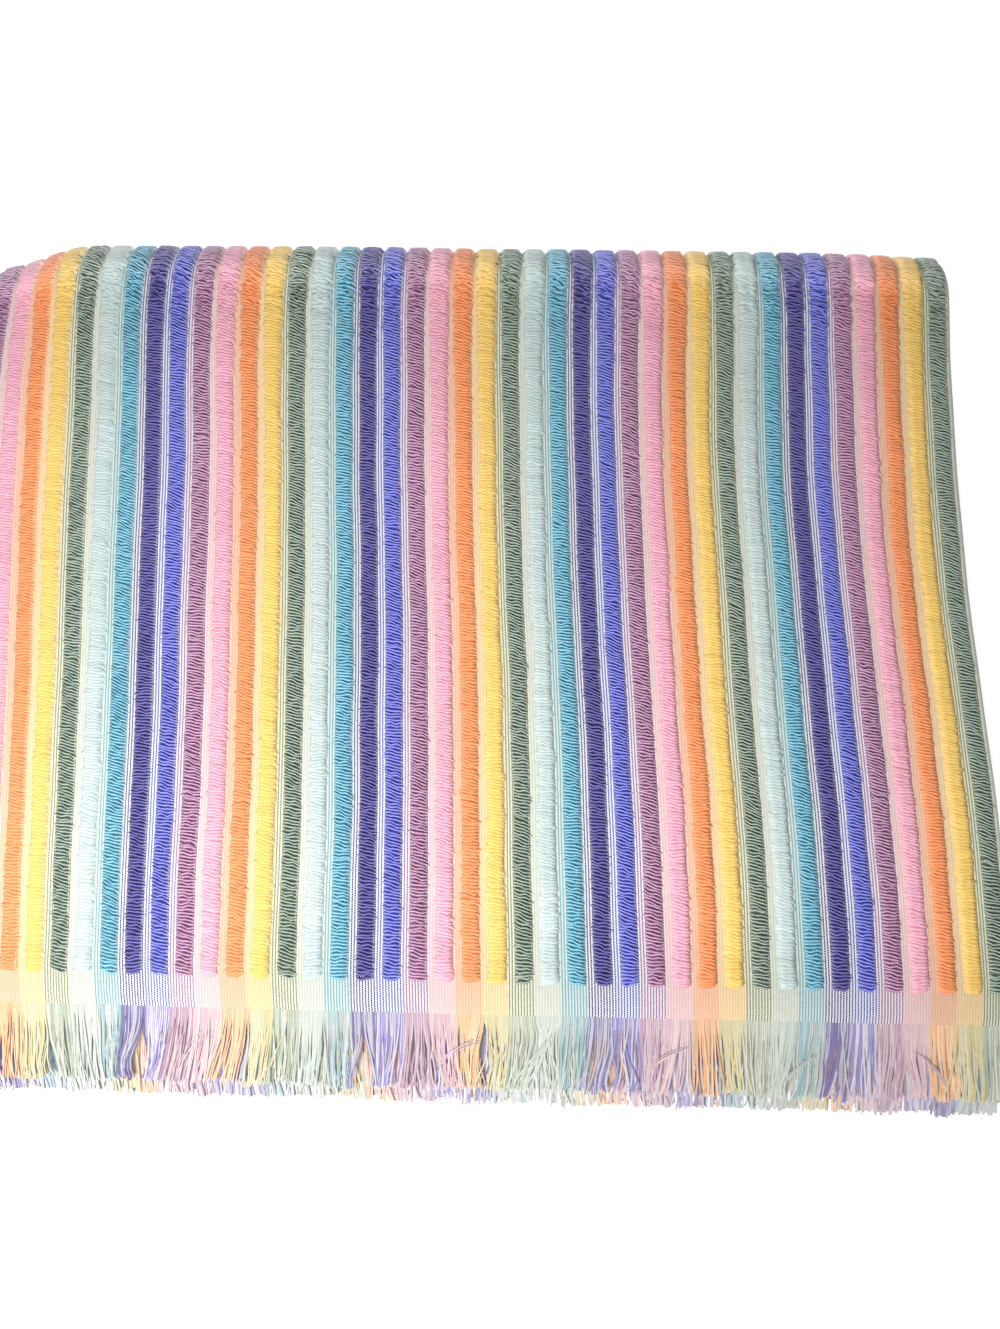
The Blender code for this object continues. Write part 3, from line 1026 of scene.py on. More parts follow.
@dataclass
class GroundCloth:
    """The woven cloth itself, a thin sheet through every fold."""

    cloth: FoldedCloth
    columns: int = 132
    turn_columns: int = 7
    first_places: tuple[float, ...] = (0.0, 0.0012, 0.0040)
    flat_step: float = 0.016
    far_step: float = 0.0022
    fold_step: float = 0.0013
    before_far: float = 0.06
    half_thickness: float = 0.0006
    edge_share: float = 0.2
    edge_run: float = 0.004
    name: str = "ground_cloth"

    def lengthwise_places(self) -> np.ndarray:
        """Places along the cloth of its rows of points, closer together in the folds.

        Returns:
            The places, from one end to the other.
        """
        c = self.cloth
        places = list(self.first_places)
        folds = (
            (c.far_start - self.before_far, c.far_end, self.far_step),
            (c.near_start, c.near_end, self.fold_step),
            (c.inner_start, c.inner_end, self.fold_step),
        )
        while places[-1] < c.length:
            here = places[-1]
            step = self.flat_step
            for start, end, fine in folds:
                if start - fine <= here < end:
                    step = fine
                elif here < start:
                    step = min(step, max(start - here, fine))
            places.append(here + step)
        places[-1] = c.length
        return np.array(places)

    def crosswise_places(self) -> np.ndarray:
        """Places across the cloth of its columns, with some round the lengthwise fold.

        Returns:
            The places, from one selvedge to the other.
        """
        c = self.cloth
        start, end = c.top_width, c.top_width + c.turn_width
        half = self.columns // 2
        left = np.linspace(0.0, start, half)[:-1]
        right = np.linspace(end, c.width, half)[1:]
        return np.concatenate([left, np.linspace(start, end, self.turn_columns), right])

    def build(self) -> bpy.types.Object:
        """Makes the sheet.

        Returns:
            The piece, shaped and carried into the folds.
        """
        across, along = self.crosswise_places(), self.lengthwise_places()
        bm = bmesh.new()
        bmesh.ops.create_grid(
            bm, x_segments=len(across) - 1, y_segments=len(along) - 1, size=1.0
        )
        made = bmesh.ops.extrude_face_region(bm, geom=bm.faces[:])
        lifted = [v for v in made["geom"] if isinstance(v, bmesh.types.BMVert)]
        bmesh.ops.translate(bm, verts=lifted, vec=(0.0, 0.0, 1.0))
        bmesh.ops.recalc_face_normals(bm, faces=bm.faces)
        piece = object_of(bm, self.name)
        flat = points_of(piece)
        column = (flat[:, 0] + 1) / 2 * (len(across) - 1)
        row = (flat[:, 1] + 1) / 2 * (len(along) - 1)
        u = np.interp(column, np.arange(len(across)), across)
        v = np.interp(row, np.arange(len(along)), along)
        inside = smooth(np.minimum(v, self.cloth.length - v) / self.edge_run)
        thick = self.half_thickness * (self.edge_share + (1 - self.edge_share) * inside)
        move_points(piece, self.cloth.carry(u, v, (flat[:, 2] * 2 - 1) * thick))
        self._map(piece, self.cloth.zone(u), v)
        return piece

    def _map(self, piece: bpy.types.Object, zone: np.ndarray, along: np.ndarray) -> None:
        """Stores colour zone and distance along the cloth as the piece's UV map.

        Args:
            piece: the piece.
            zone: the colour zone of each point.
            along: the distance of each point along the cloth.
        """
        mesh = piece.data
        layer = mesh.uv_layers.new(name="cloth")
        corners = np.empty(len(mesh.loops), np.int32)
        mesh.loops.foreach_get("vertex_index", corners)
        places = np.stack([zone[corners], along[corners]], axis=1)
        layer.data.foreach_set("uv", places.astype(np.float32).ravel())


@dataclass(frozen=True)
class RowPoints:
    """The points of one colour's rows: each one's row, and its place in it and on the cloth.

    a runs from -1 to 1 across the rib, and past is the distance past the far roll's start.
    """

    rib: np.ndarray
    row: np.ndarray
    along: np.ndarray
    past: np.ndarray
    a: np.ndarray
    side: np.ndarray
    on_top: np.ndarray
    arch: np.ndarray
    froth: np.ndarray
    knobs: np.ndarray


@dataclass
class PileRows:
    """The ribs of one colour: rows of loops side by side, each row one low arch.

    Sizes are in metres. Waves are pairs of amplitude and length, ramps are (start, run), and
    a random size is its standard deviation.
    """

    cloth: FoldedCloth
    stripe: int
    seed: int = 300
    sides: int = 4
    sections: int = 6
    # The arch of a row, and how it meets the next one.
    half_width: float = 0.0045
    aside: float = -0.00022
    crest: float = 0.0021
    foot: float = 0.0007
    narrow_half: float = 0.00086
    wide_half: float = 0.00160
    row_top: float = 0.00010
    met_at: float = 0.97
    groove_mm: tuple[float, float] = (0.16, 1.15)
    arch_powers: tuple[float, float] = (5.0, 0.6)
    end_thick: tuple[float, float] = (0.66, 0.34)
    end_lift: float = 0.3
    first_row: float = 0.0006
    beside_near: float = 0.010
    near_closeness: float = 0.72
    samples: int = 4000
    # The far roll, where the loops stand open.
    froth_middle: float = -0.002
    froth_run: float = 0.017
    froth_slip: float = 1.6
    froth_shift: float = 4.5
    froth_lift: float = 3.6
    widening: tuple = ((0.20, -0.07, 0.075), (0.10, 0.006, 0.014))
    roll_lift: float = 0.9 * MM
    roll_lift_run: float = 0.022
    past_far_end: float = 0.006
    closeness: tuple = ((0.03, 1.0), (0.10, 0.955), (0.25, 0.955), (0.34, 1.02), (0.40, 1.04))
    # Unevenness.
    width_chance: float = 0.045
    rise_chance: float = 0.08 * MM
    rise_rough: tuple[float, float] = (0.20, 0.80)
    slip_chance: float = 0.05 * MM
    one_side_share: float = 0.14
    one_side_chance: float = 0.46 * MM
    lean_chance: float = 0.04
    tone_chance: float = 0.04
    first_widths: tuple[float, float] = (0.93, 0.98)
    first_sinks: tuple[float, float] = (0.45 * MM, 0.15 * MM)
    shift_knobs: float = 0.080 * MM
    lift_knobs: float = 0.06 * MM
    lift_rough: tuple[float, float] = (0.25, 0.75)
    across_knobs: tuple[float, float] = (0.06, 0.27)
    bow_waves: tuple = ((0.26 * MM, 0.031), (0.16 * MM, 0.012))
    bend_waves: tuple = ((0.32 * MM, 0.016), (0.30 * MM, 0.0072))
    sway_waves: tuple = ((0.20 * MM, 0.060), (0.12 * MM, 0.021))
    lean_waves: tuple = ((0.09, 0.11), (0.08, 0.047), (0.06, 0.021), (0.03, 0.009))
    lean_steady: tuple = ((0.016, -0.04), (0.022, -0.14), (0.030, -0.23), (0.20, -0.29), (0.36, -0.33))
    lean_shift: tuple[float, float] = (0.03, 0.12)
    bow_middle: float = 0.4
    bend_turn: float = 4.2
    corner_bend: float = 0.55 * MM
    corner_rows: float = 1.6
    heading_rows: float = 1.3
    # Painted light and shade, and colour.
    # Painted light and shade of the rows' tone round the far roll: darker just before it, lighter over
    # it.
    roll_light_and_shade: tuple = (
        (-0.095, 1.0), (-0.015, 0.90), (-0.004, 0.94), (0.006, 1.14), (0.013, 1.15),
        (0.017, 1.12), (0.0205, 1.24), (0.024, 1.50),
    )
    # Painted sheen round the far roll.
    roll_haze: tuple = ((0.0, 0.0), (0.010, 0.12), (0.024, 0.28), (0.030, 0.36))
    # Painted shade on pale rows beside the heading.
    near_shade: float = 0.12
    near_ramp: tuple[float, float] = (0.016, 0.030)
    # Painted light at the rib's right edge, over the shade that falls there.
    right_painted_light: float = 0.60
    right_ramp: tuple[float, float] = (0.72, 0.28)
    # How far each side of the rib takes the strip's colour; the right side takes more, which also paints
    # light over its shade.
    edge_fades: tuple = (("left", -1, 0.50), ("right", 1, 0.90))
    edge_ramp: tuple[float, float] = (0.60, 0.42)
    # Painted shade where the rows dip to the cloth at the rib's sides.
    arch_painted_shade: tuple[float, float] = (0.93, 0.08)
    # Painted light on the froth of open loops.
    froth_painted_light: float = 0.06
    # Painted groove shade at the rows' low ends, and in flecks on the froth.
    end_painted_shade: float = 0.10
    fleck_painted_shade: float = 0.30
    fleck_most: float = 1.6
    # The feet of the loops.
    bed_sides: int = 8
    bed_sections: int = 44
    bed_low: float = 0.0004
    bed_sink: float = 0.05 * MM
    bed_power: float = 0.6
    bed_ends: tuple[float, float, float] = (0.0017, -0.02, 0.004)
    # Painted shade on the feet of the loops.
    bed_painted_shade: float = 0.97
    bed_stops: tuple[float, float, float] = (0.0, 0.52, 1.0)

    @property
    def colour(self) -> StripeColour:
        """The colour of these ribs."""
        return STRIPES[self.stripe]

    def ribs(self) -> np.ndarray:
        """The ribs of this colour on the top sheet."""
        return np.arange(self.stripe, self.cloth.weave.top_ribs, len(STRIPES))

    def groove(self) -> float:
        """How deep the grooves between the rows are."""
        least, more = self.groove_mm
        return (least + more * self.colour.relief) * MM

    def row_half(self) -> float:
        """Half width of a row; rows with shallow grooves lap over each other more."""
        return self.wide_half + (self.narrow_half - self.wide_half) * self.colour.relief

    def row_depth(self) -> float:
        """Height of a row whose side meets the next row's side at the groove."""
        half_pitch = self.cloth.weave.row_pitch * self.met_at / 2
        return self.groove() * (self.row_half() - self.row_top) / (half_pitch - self.row_top)

    def row_places(self) -> np.ndarray:
        """Places along the cloth of the rows that can be seen.

        Returns:
            The places on the top ply and over the far roll, and then on the near fold.
        """
        c, w = self.cloth, self.cloth.weave
        first, last = w.heading + self.first_row, c.far_end + self.past_far_end
        reach = np.linspace(first, last, self.samples)
        across = np.full_like(reach, c.top_width / 2)
        outside = c.carry(across, reach, np.full_like(reach, self.crest))
        steps = np.linalg.norm(np.diff(outside, axis=0), axis=1)
        run = np.concatenate([[0.0], np.cumsum(steps)])
        pitch = w.row_pitch * np.interp(reach, *np.array(self.closeness).T)
        passed = np.concatenate([[0.0], np.cumsum(np.diff(run) / pitch[1:])])
        upper = np.interp(np.arange(int(passed[-1]) + 1), passed, reach)
        first, last = c.near_start - self.beside_near, c.near_end + self.beside_near
        near = np.arange(first, last, w.row_pitch * self.near_closeness)
        return np.concatenate([upper, near])

    def build(self) -> bpy.types.Object:
        """Makes all rows of the colour as one joined mesh.

        Returns:
            The piece, with its tone, its share of painted shade, its painted sheen and its edges for
            each point.
        """
        ribs, rows = self.ribs(), self.row_places()
        total = len(ribs) * len(rows)
        tubes = tube_field(f"pile_rows_{self.colour.name}", total, self.sides, self.sections)
        chance = np.random.default_rng(self.seed + self.stripe)
        loose = self._loose(chance, len(ribs), rows)
        knobs = chance.normal(0, 1.0, (3, total, self.sections + 1))
        at = self._points(tubes, rows, knobs)
        wide, rise, slip, one_side, which = (part[at.rib, at.row] for part in loose)
        for gain, start, run in self.widening:
            wide = wide * (1 + gain * ramp(at.past, start, run))
        lean = self._lean(chance, len(ribs), at)
        waves = (self.bow_waves, self.bend_waves, self.sway_waves)
        bow, bend, sway = [self._wander(chance, sizes, len(ribs), at) for sizes in waves]
        shift = slip * (1 + self.froth_slip * at.froth)
        shift = shift + self.shift_knobs * at.knobs[0] * (1 + self.froth_shift * at.froth)
        shift += one_side * (1 + which * at.a) / 2 + wide * at.a * lean
        shift += (at.a * at.a - self.bow_middle) * bow
        shift += np.sin(self.bend_turn * at.a) * bend
        shift += self.corner_bend * np.abs(at.a) ** 3 * np.exp(-at.row / self.corner_rows)
        shift += (self.row_half() - self.narrow_half) * np.exp(-at.row / self.heading_rows)
        least, more = self.across_knobs
        across = self.cloth.rib_middle(ribs[at.rib]) + self.aside + wide * at.a
        across += MM * at.knobs[2] * (least + more * np.abs(at.a) ** 6)
        across += sway
        reach, height = self._section(at, rise)
        move_points(tubes.piece, self.cloth.carry(across, at.along + shift + at.side * reach, height))
        # Each row's own random tone, to which _tone adds painted light and shade.
        tone = (1 + chance.normal(0, self.tone_chance, total))[tubes.number]
        point_values(tubes.piece, "tone", self._tone(at, tone))
        # Share of painted shade: at the rows' low ends and in flecks on the froth at the tops, and full
        # below the tops, in the grooves.
        top_shade = self.fleck_painted_shade * at.froth * np.clip(at.knobs[0], 0, self.fleck_most)
        top_shade = self.end_painted_shade * (1 - at.arch) + top_shade
        point_values(tubes.piece, "depth", np.where(at.on_top, top_shade, 1.0))
        self._store_sheen_and_edges(tubes.piece, at.past, at.a)
        return tubes.piece

    def _points(self, tubes: Tubes, rows: np.ndarray, knobs: np.ndarray) -> RowPoints:
        """Finds each point's row, and its place in it.

        Args:
            tubes: the rows as straight tubes.
            rows: places of the rows.
            knobs: three random numbers for each ring of each tube.

        Returns:
            The points.
        """
        row = tubes.number % len(rows)
        past = rows[row] - self.cloth.far_start
        a = 2 * tubes.share - 1
        flat, round_off = self.arch_powers
        return RowPoints(
            rib=tubes.number // len(rows),
            row=row,
            along=rows[row],
            past=past,
            a=a,
            side=-np.sign(tubes.aside),
            on_top=tubes.up > 0,
            arch=(1 - np.abs(a) ** flat) ** round_off,
            froth=np.exp(-(((past - self.froth_middle) / self.froth_run) ** 2)),
            knobs=knobs[:, tubes.number, tubes.station()],
        )

    def _section(self, at: RowPoints, rise: np.ndarray) -> tuple[np.ndarray, np.ndarray]:
        """Shapes the section of each row.

        Args:
            at: the points.
            rise: how much higher than usual each point's row is.

        Returns:
            Each point's distance from the row's middle, and its height over the cloth.
        """
        thick = self.end_thick[0] + self.end_thick[1] * at.arch
        least, more = self.lift_rough
        rough = least + more * self.colour.relief + self.froth_lift * at.froth
        lifted = rise * (1 + at.froth) + self.lift_knobs * at.knobs[1] * rough
        top = self.foot + (self.crest - self.foot) * at.arch
        top = top + lifted * (self.end_lift + (1 - self.end_lift) * at.arch)
        top += self.roll_lift * smooth(at.past / self.roll_lift_run) * at.arch
        reach = np.where(at.on_top, self.row_top, self.row_half() * thick)
        return reach, np.where(at.on_top, top, top - self.row_depth() * thick)

    def _tone(self, at: RowPoints, tone: np.ndarray) -> np.ndarray:
        """Paints light and shade into the rows' own tone: round the far roll, beside the heading, at the
        rows' low ends, on the froth and at the rib's right edge.

        Args:
            at: the points.
            tone: each row's own tone.

        Returns:
            The tones.
        """
        # Painted light and shade round the far roll.
        tone = tone * np.interp(at.past, *np.array(self.roll_light_and_shade).T)
        # Painted shade beside the heading.
        near = self.near_shade * (1 - self.colour.relief) * (1 - ramp(at.along, *self.near_ramp))
        # Painted light at the rib's right edge.
        tone = tone * (1 - near) * (1 + self.right_painted_light * ramp(at.a, *self.right_ramp))
        least, more = self.arch_painted_shade
        return tone * (least + more * at.arch) * (1 + self.froth_painted_light * at.froth)

    def _store_sheen_and_edges(self, piece: bpy.types.Object, past: np.ndarray, a: np.ndarray) -> None:
        """Stores the painted sheen that makes the fuzz look pale, and how far the rib's sides take the
        strips' colours.

        Args:
            piece: the piece.
            past: distance of each point past the far roll's start.
            a: place of each point across the rib, from -1 to 1.
        """
        # Painted sheen, by the place round the far roll.
        point_values(piece, "haze", np.interp(past, *np.array(self.roll_haze).T))
        for name, sign, most in self.edge_fades:
            point_values(piece, name, most * ramp(sign * a, *self.edge_ramp))

    def bed(self) -> bpy.types.Object:
        """Makes the close-set feet of the loops, one low bar under each rib.

        Returns:
            The piece, with its tone, its share of painted shade, its painted sheen and its edges for
            each point.
        """
        ribs, c = self.ribs(), self.cloth
        name = f"pile_feet_{self.colour.name}"
        tubes = tube_field(name, len(ribs), self.bed_sides, self.bed_sections)
        ends = np.array((c.weave.heading, c.far_start, c.far_end)) + self.bed_ends
        along = np.interp(tubes.share, self.bed_stops, ends)
        top = self.crest - self.groove() - self.bed_sink
        arch = np.clip(tubes.up, 0, 1) ** self.bed_power
        height = self.bed_low + (top - self.bed_low) * arch
        reach = tubes.aside * (self.half_width - self.bed_low)
        across = c.rib_middle(ribs[tubes.number]) + self.aside + reach
        move_points(tubes.piece, c.carry(across, along, height))
        # Painted shade on the feet, with painted light at their right side.
        tone = self.bed_painted_shade + self.right_painted_light * ramp(tubes.aside, *self.right_ramp)
        point_values(tubes.piece, "tone", tone)
        # The feet lie wholly in painted groove shade.
        point_values(tubes.piece, "depth", np.ones(len(tone)))
        self._store_sheen_and_edges(tubes.piece, along - c.far_start, tubes.aside)
        return tubes.piece

    def _loose(self, chance: np.random.Generator, ribs: int, rows: np.ndarray) -> tuple:
        """Random unevenness of each row.

        Args:
            chance: the source of random numbers.
            ribs: how many ribs.
            rows: places of the rows.

        Returns:
            Arrays by rib and row: half width, rise, slip, one-sided slip and its side.
        """
        count = (ribs, len(rows))
        wide = self.half_width * (1 + chance.normal(0, self.width_chance, count))
        least, more = self.rise_rough
        rough = least + more * self.colour.relief
        rise = chance.normal(0, self.rise_chance * rough, count)
        for i, (narrower, sink) in enumerate(zip(self.first_widths, self.first_sinks)):
            wide[:, i] *= narrower
            rise[:, i] -= sink
        slip = chance.normal(0, self.slip_chance, count)
        chosen = chance.random(count) < self.one_side_share
        one_side = np.where(chosen, chance.normal(0, self.one_side_chance, count), 0)
        return wide, rise, slip, one_side, chance.choice([-1.0, 1.0], count)

    @staticmethod
    def _wander(chance: np.random.Generator, sizes: tuple, ribs: int, at: RowPoints) -> np.ndarray:
        """Sums waves along each rib, whose phases are random.

        Args:
            chance: the source of random numbers.
            sizes: amplitude and length of each wave.
            ribs: how many ribs.
            at: the points.

        Returns:
            The sum at each point.
        """
        phases = [chance.uniform(0, 6.28, ribs) for _ in sizes]
        waves = zip(sizes, phases)
        return sum(a * np.sin(6.283 * at.along / length + phase[at.rib]) for (a, length), phase in waves)

    def _lean(self, chance: np.random.Generator, ribs: int, at: RowPoints) -> np.ndarray:
        """How far the rows lean, as rise over run.

        Args:
            chance: the source of random numbers.
            ribs: how many ribs.
            at: the points.

        Returns:
            The lean at each point.
        """
        waves = self._wander(chance, self.lean_waves, ribs, at)
        steady = np.interp(at.along, *np.array(self.lean_steady).T)
        always, flat_rows = self.lean_shift
        steady = steady + always + flat_rows * (1 - self.colour.relief)
        return steady + chance.normal(0, self.lean_chance, ribs)[at.rib] + waves


@dataclass
class HiddenRibs:
    """Plain bars for the outermost ribs of the layers that show only at the sides."""

    cloth: FoldedCloth
    outermost: int = 2
    sides: int = 10
    sections: int = 48
    low: float = 0.0006
    high: float = 0.0028
    arch_power: float = 0.45
    after_far: float = 0.005
    beside_near: float = 0.010
    # Painted shade on the bars at the sides of the stack: a darker tone, and a share of painted groove
    # shade.
    tone: float = 0.92
    depth: float = 0.35
    name: str = "side_ribs"

    def stretches(self) -> list[tuple[int, float, float]]:
        """Each bar's rib, and its start and end along the cloth.

        Returns:
            The bars.
        """
        c, w = self.cloth, self.cloth.weave
        last = c.length - w.heading
        bars = []
        for i in range(self.outermost):
            for rib in (i, w.top_ribs - 1 - i):
                bars.append((rib, c.far_end + self.after_far, c.near_start - self.beside_near))
                bars.append((rib, c.near_end + self.beside_near, last))
            for rib in (w.top_ribs + i, w.top_ribs + w.under_ribs - 1 - i):
                bars.append((rib, w.heading, last))
        return bars

    def build(self) -> list[tuple[int, bpy.types.Object]]:
        """Makes one piece for each colour that the bars have.

        Returns:
            The stripes and their pieces, in order of the stripe.
        """
        bars = {}
        for rib, start, end in self.stretches():
            bars.setdefault(rib % len(STRIPES), []).append((rib, start, end))
        return [(stripe, self._piece(stripe, bars[stripe])) for stripe in sorted(bars)]

    def _piece(self, stripe: int, bars: list) -> bpy.types.Object:
        """One colour's bars as a joined mesh.

        Args:
            stripe: the colour's number.
            bars: each bar's rib, start and end.

        Returns:
            The piece.
        """
        name = f"{self.name}_{STRIPES[stripe].name}"
        tubes = tube_field(name, len(bars), self.sides, self.sections)
        rib, start, end = np.array(bars).T[:, tubes.number]
        across = self.cloth.rib_middle(rib) + tubes.aside * self.cloth.weave.rib_width / 2
        height = self.low + (self.high - self.low) * np.clip(tubes.up, 0, 1) ** self.arch_power
        along = start + tubes.share * (end - start)
        move_points(tubes.piece, self.cloth.carry(across, along, height))
        # Painted shade on every point of the bars.
        point_values(tubes.piece, "tone", np.full(len(along), self.tone))
        point_values(tubes.piece, "depth", np.full(len(along), self.depth))
        return tubes.piece


# ---------------------------------------------------------------- the fringes


@dataclass(frozen=True)
class YarnRow:
    """One sheet's fringe: its yarns, and how they lie."""

    sheet: int
    yarns_a_zone: int
    lift: float
    spread: float
    thickness: float = 1.0


@dataclass(frozen=True)
class Parting:
    """A place where yarns lie apart, or together where the width is negative."""

    x: float
    start: float
    width: float
    reach: float
    widest: float = 1.0
    closing: float = 0.5
    closing_run: float = 0.3
    shortest_run: float = 0.05


@dataclass(frozen=True)
class Stray:
    """A few yarns that lie across the others, from (x, y) to (x, y)."""

    start: tuple[float, float]
    end: tuple[float, float]
    stripe: int
    yarns: int
    bow: float = 0.002
    lift_mm: tuple[float, float] = (0.5, 0.7)
    lift_turn: float = 1.1


@dataclass
class Fringe:
    """The loose yarns at one end of the towel.

    The yarns lie over the bend and the droop, two lines along the near fold, and hang beyond
    them. Each random size is a standard deviation or a pair of lowest and highest, and the
    ripple is the highest of one.
    """

    cloth: FoldedCloth
    name: str
    node: str
    height: float
    sink: float
    out: float
    up: int
    rows: tuple[YarnRow, ...]
    lean: tuple[tuple[float, float], ...]
    seed: int
    reach: float
    sections: int
    gather: float
    # Strength of the yarns' painted glow.
    painted_glow: float
    fluff: float
    partings: tuple[Parting, ...] = ()
    strays: tuple[Stray, ...] = ()
    evened: float = 0.0
    # Painted shade: how far the yarns are greyed towards a shade colour, and that colour.
    fade: float = 0.0
    painted_shade_grey: tuple[int, int, int] = (176, 172, 180)
    radius: float = 0.00038
    sides: int = 4
    inside: float = 0.0014
    root_y: float = -0.0003
    bend_y: float = -0.018
    bend_z: float = 0.0189
    droop_y: float = -0.029
    droop_z: float = 0.0164
    hanging_slope: float = 0.45
    softened: tuple[float, ...] = (-0.0035, -0.0017, 0.0, 0.0017, 0.0035)
    locks: int = 400
    lock_width: tuple[float, float] = (0.0022, 0.0085)
    lock_start: float = 0.01
    lock_pull: tuple[float, float] = (0.05, 1.0)
    lock_lean: float = 2.0
    lock_length: float = 0.8 * MM
    length_chance: float = 0.5 * MM
    loose_share: float = 0.06
    loose_lean: float = 3.5 * MM
    loose_lift: float = 0.9 * MM
    loose_rise: float = 3.0
    phases: tuple[float, float] = (0, 6)
    ripple: float = 0.55 * MM
    ripple_turns: tuple[float, float] = (2, 6)
    wave: float = 0.85 * MM
    wave_turns: tuple[float, float] = (3, 7)
    hook: float = 0.7 * MM
    hook_power: int = 5
    held: float = 0.10
    lean_power: float = 1.35
    widths: tuple[float, float] = (0.82, 1.15)
    root_width: float = 1.10
    swapped_share: float = 0.15
    shade_chance: float = 0.06
    stray_shift: float = 0.9 * MM
    stray_width: float = 0.65
    stray_pale: float = 0.75

    def __post_init__(self) -> None:
        """Starts with no yarns."""
        self.chance = np.random.default_rng(self.seed)
        self.share = np.linspace(0, 1, self.sections + 1)
        self.lines, self.thicks, self.shades = [], [], []

    def drape(self, y: np.ndarray, root_y: np.ndarray, sheet: int, lift: float) -> np.ndarray:
        """Heights of yarns over the near fold and beyond it.

        Args:
            y: places along the yarns.
            root_y: where each yarn leaves the heading.
            sheet: 1 for the top sheet's yarns, -1 for the lower sheet's.
            lift: the row's height over the lowest row.

        Returns:
            The heights.
        """
        root_z = self.height - self.sink + self.up * sheet * self.cloth.mid
        total = 0.0
        for step in self.softened:
            at = y + step
            hanging = self.droop_z + lift - self.hanging_slope * (self.droop_y - at)
            run = (at - self.droop_y) / (self.bend_y - self.droop_y)
            middle = self.droop_z + lift + run * (self.bend_z - self.droop_z)
            first = np.clip((at - self.bend_y) / (root_y - self.bend_y), 0, 1)
            upper = self.bend_z + lift + first * (root_z - self.bend_z - lift)
            lying = np.where(at < self.bend_y, middle, upper)
            total = total + np.where(at < self.droop_y, hanging, lying)
        return total / len(self.softened)

    def apart(self, x: np.ndarray) -> np.ndarray:
        """How far the partings push yarns aside.

        Args:
            x: where each yarn starts.

        Returns:
            Offsets by yarn and share of its length.
        """
        total = np.zeros((len(x), len(self.share)))
        for part in self.partings:
            aside = x - part.x
            push = np.sign(aside) * part.width * np.exp(-np.abs(aside) / part.reach)
            opened = ramp(self.share, part.start, max(part.widest - part.start, part.shortest_run))
            closed = 1 - part.closing * ramp(self.share, part.widest, part.closing_run)
            total += push[:, None] * (opened * closed)[None, :]
        return total

    def grow(self, row: YarnRow) -> None:
        """Adds the yarns of one sheet's end.

        Args:
            row: the yarns, and how they lie.
        """
        c, chance, t = self.cloth, self.chance, self.share
        ribs = c.weave.top_ribs if row.sheet > 0 else c.weave.under_ribs
        left, right = c.left_x(ribs), c.stack.fold_x
        count = ribs * row.yarns_a_zone
        x0 = left + (np.arange(count) + 0.5) * (right - left) / count
        lock, pull = self._pull(x0, left, row.spread)
        loose = chance.random(count) < self.loose_share
        pull = pull + np.where(loose, chance.normal(0, self.loose_lean, count), 0.0)
        out = self.out * c.end_below_out(x0)
        long = self.reach + chance.normal(0, self.lock_length, self.locks + 1)[lock]
        long = long + chance.normal(0, self.length_chance, count)
        long = long - self.evened * (out - c.stack.out_at_left * self.out)
        y = self.inside - out[:, None] - t * (long[:, None] + self.inside)
        z = self.drape(y, self.root_y - out[:, None], row.sheet, row.lift)
        ripple = np.sin(self._each(*self.ripple_turns, count) * t + self._each(*self.phases, count))
        z = z + ripple * self._each(0, self.ripple, count) * t
        z = z + np.where(loose, self.loose_lift, 0.0)[:, None] * smooth(t * self.loose_rise)
        x = self._sideways(x0, pull)
        self.lines.append(c.lie(x.ravel(), y.ravel(), z.ravel()).reshape(count, len(t), 3))
        width = self.radius * row.thickness * self._each(*self.widths, count)
        self.thicks.append(width * (self.root_width + self.fluff * t * t))
        across = x0 - left if row.sheet > 0 else c.width - (x0 - left)
        zone = np.floor(c.zone(across)).astype(int) % len(STRIPES)
        swapped = chance.random(count) < self.swapped_share
        self._colour(zone, (np.arange(count) + swapped) % 2 == 0)

    def _each(self, low: float, high: float, count: int) -> np.ndarray:
        """One even random number for each yarn, as a column."""
        return self.chance.uniform(low, high, (count, 1))

    def _pull(self, x0: np.ndarray, left: float, spread: float) -> tuple[np.ndarray, np.ndarray]:
        """Gathers the yarns in locks, and leans them.

        Args:
            x0: where each yarn starts.
            left: the left end of the fringe.
            spread: how unevenly single yarns lean.

        Returns:
            Each yarn's lock, and how far its tip lies aside of its start.
        """
        chance = self.chance
        edges = left - self.lock_start + np.cumsum(chance.uniform(*self.lock_width, self.locks))
        lock = np.searchsorted(edges, x0)
        middle = (edges[lock - 1] + edges[lock]) / 2
        pull = chance.uniform(*self.lock_pull, self.locks + 1)[lock] * self.gather * (middle - x0)
        pull = pull + chance.normal(0, self.lock_lean * self.gather * MM, self.locks + 1)[lock]
        pull = pull + np.interp(x0, *np.array(self.lean).T)
        return lock, pull + chance.normal(0, spread, len(x0))

    def _sideways(self, x0: np.ndarray, pull: np.ndarray) -> np.ndarray:
        """Places along X of the points of each yarn.

        Args:
            x0: where each yarn starts.
            pull: how far its tip lies aside of its start.

        Returns:
            The places by yarn and share of its length.
        """
        chance, t, count = self.chance, self.share, len(x0)
        swing = self._each(*self.wave_turns, count) * t + self._each(*self.phases, count)
        wave = chance.normal(0, self.wave, (count, 1)) * (np.sin(swing) - np.sin(swing[:, :1]))
        free = np.clip((t - self.held) / (1 - self.held), 0, 1)
        hook = chance.normal(0, self.hook, (count, 1)) * t**self.hook_power
        x = x0[:, None] + pull[:, None] * free**self.lean_power + wave * free + hook
        return x + self.apart(x0)

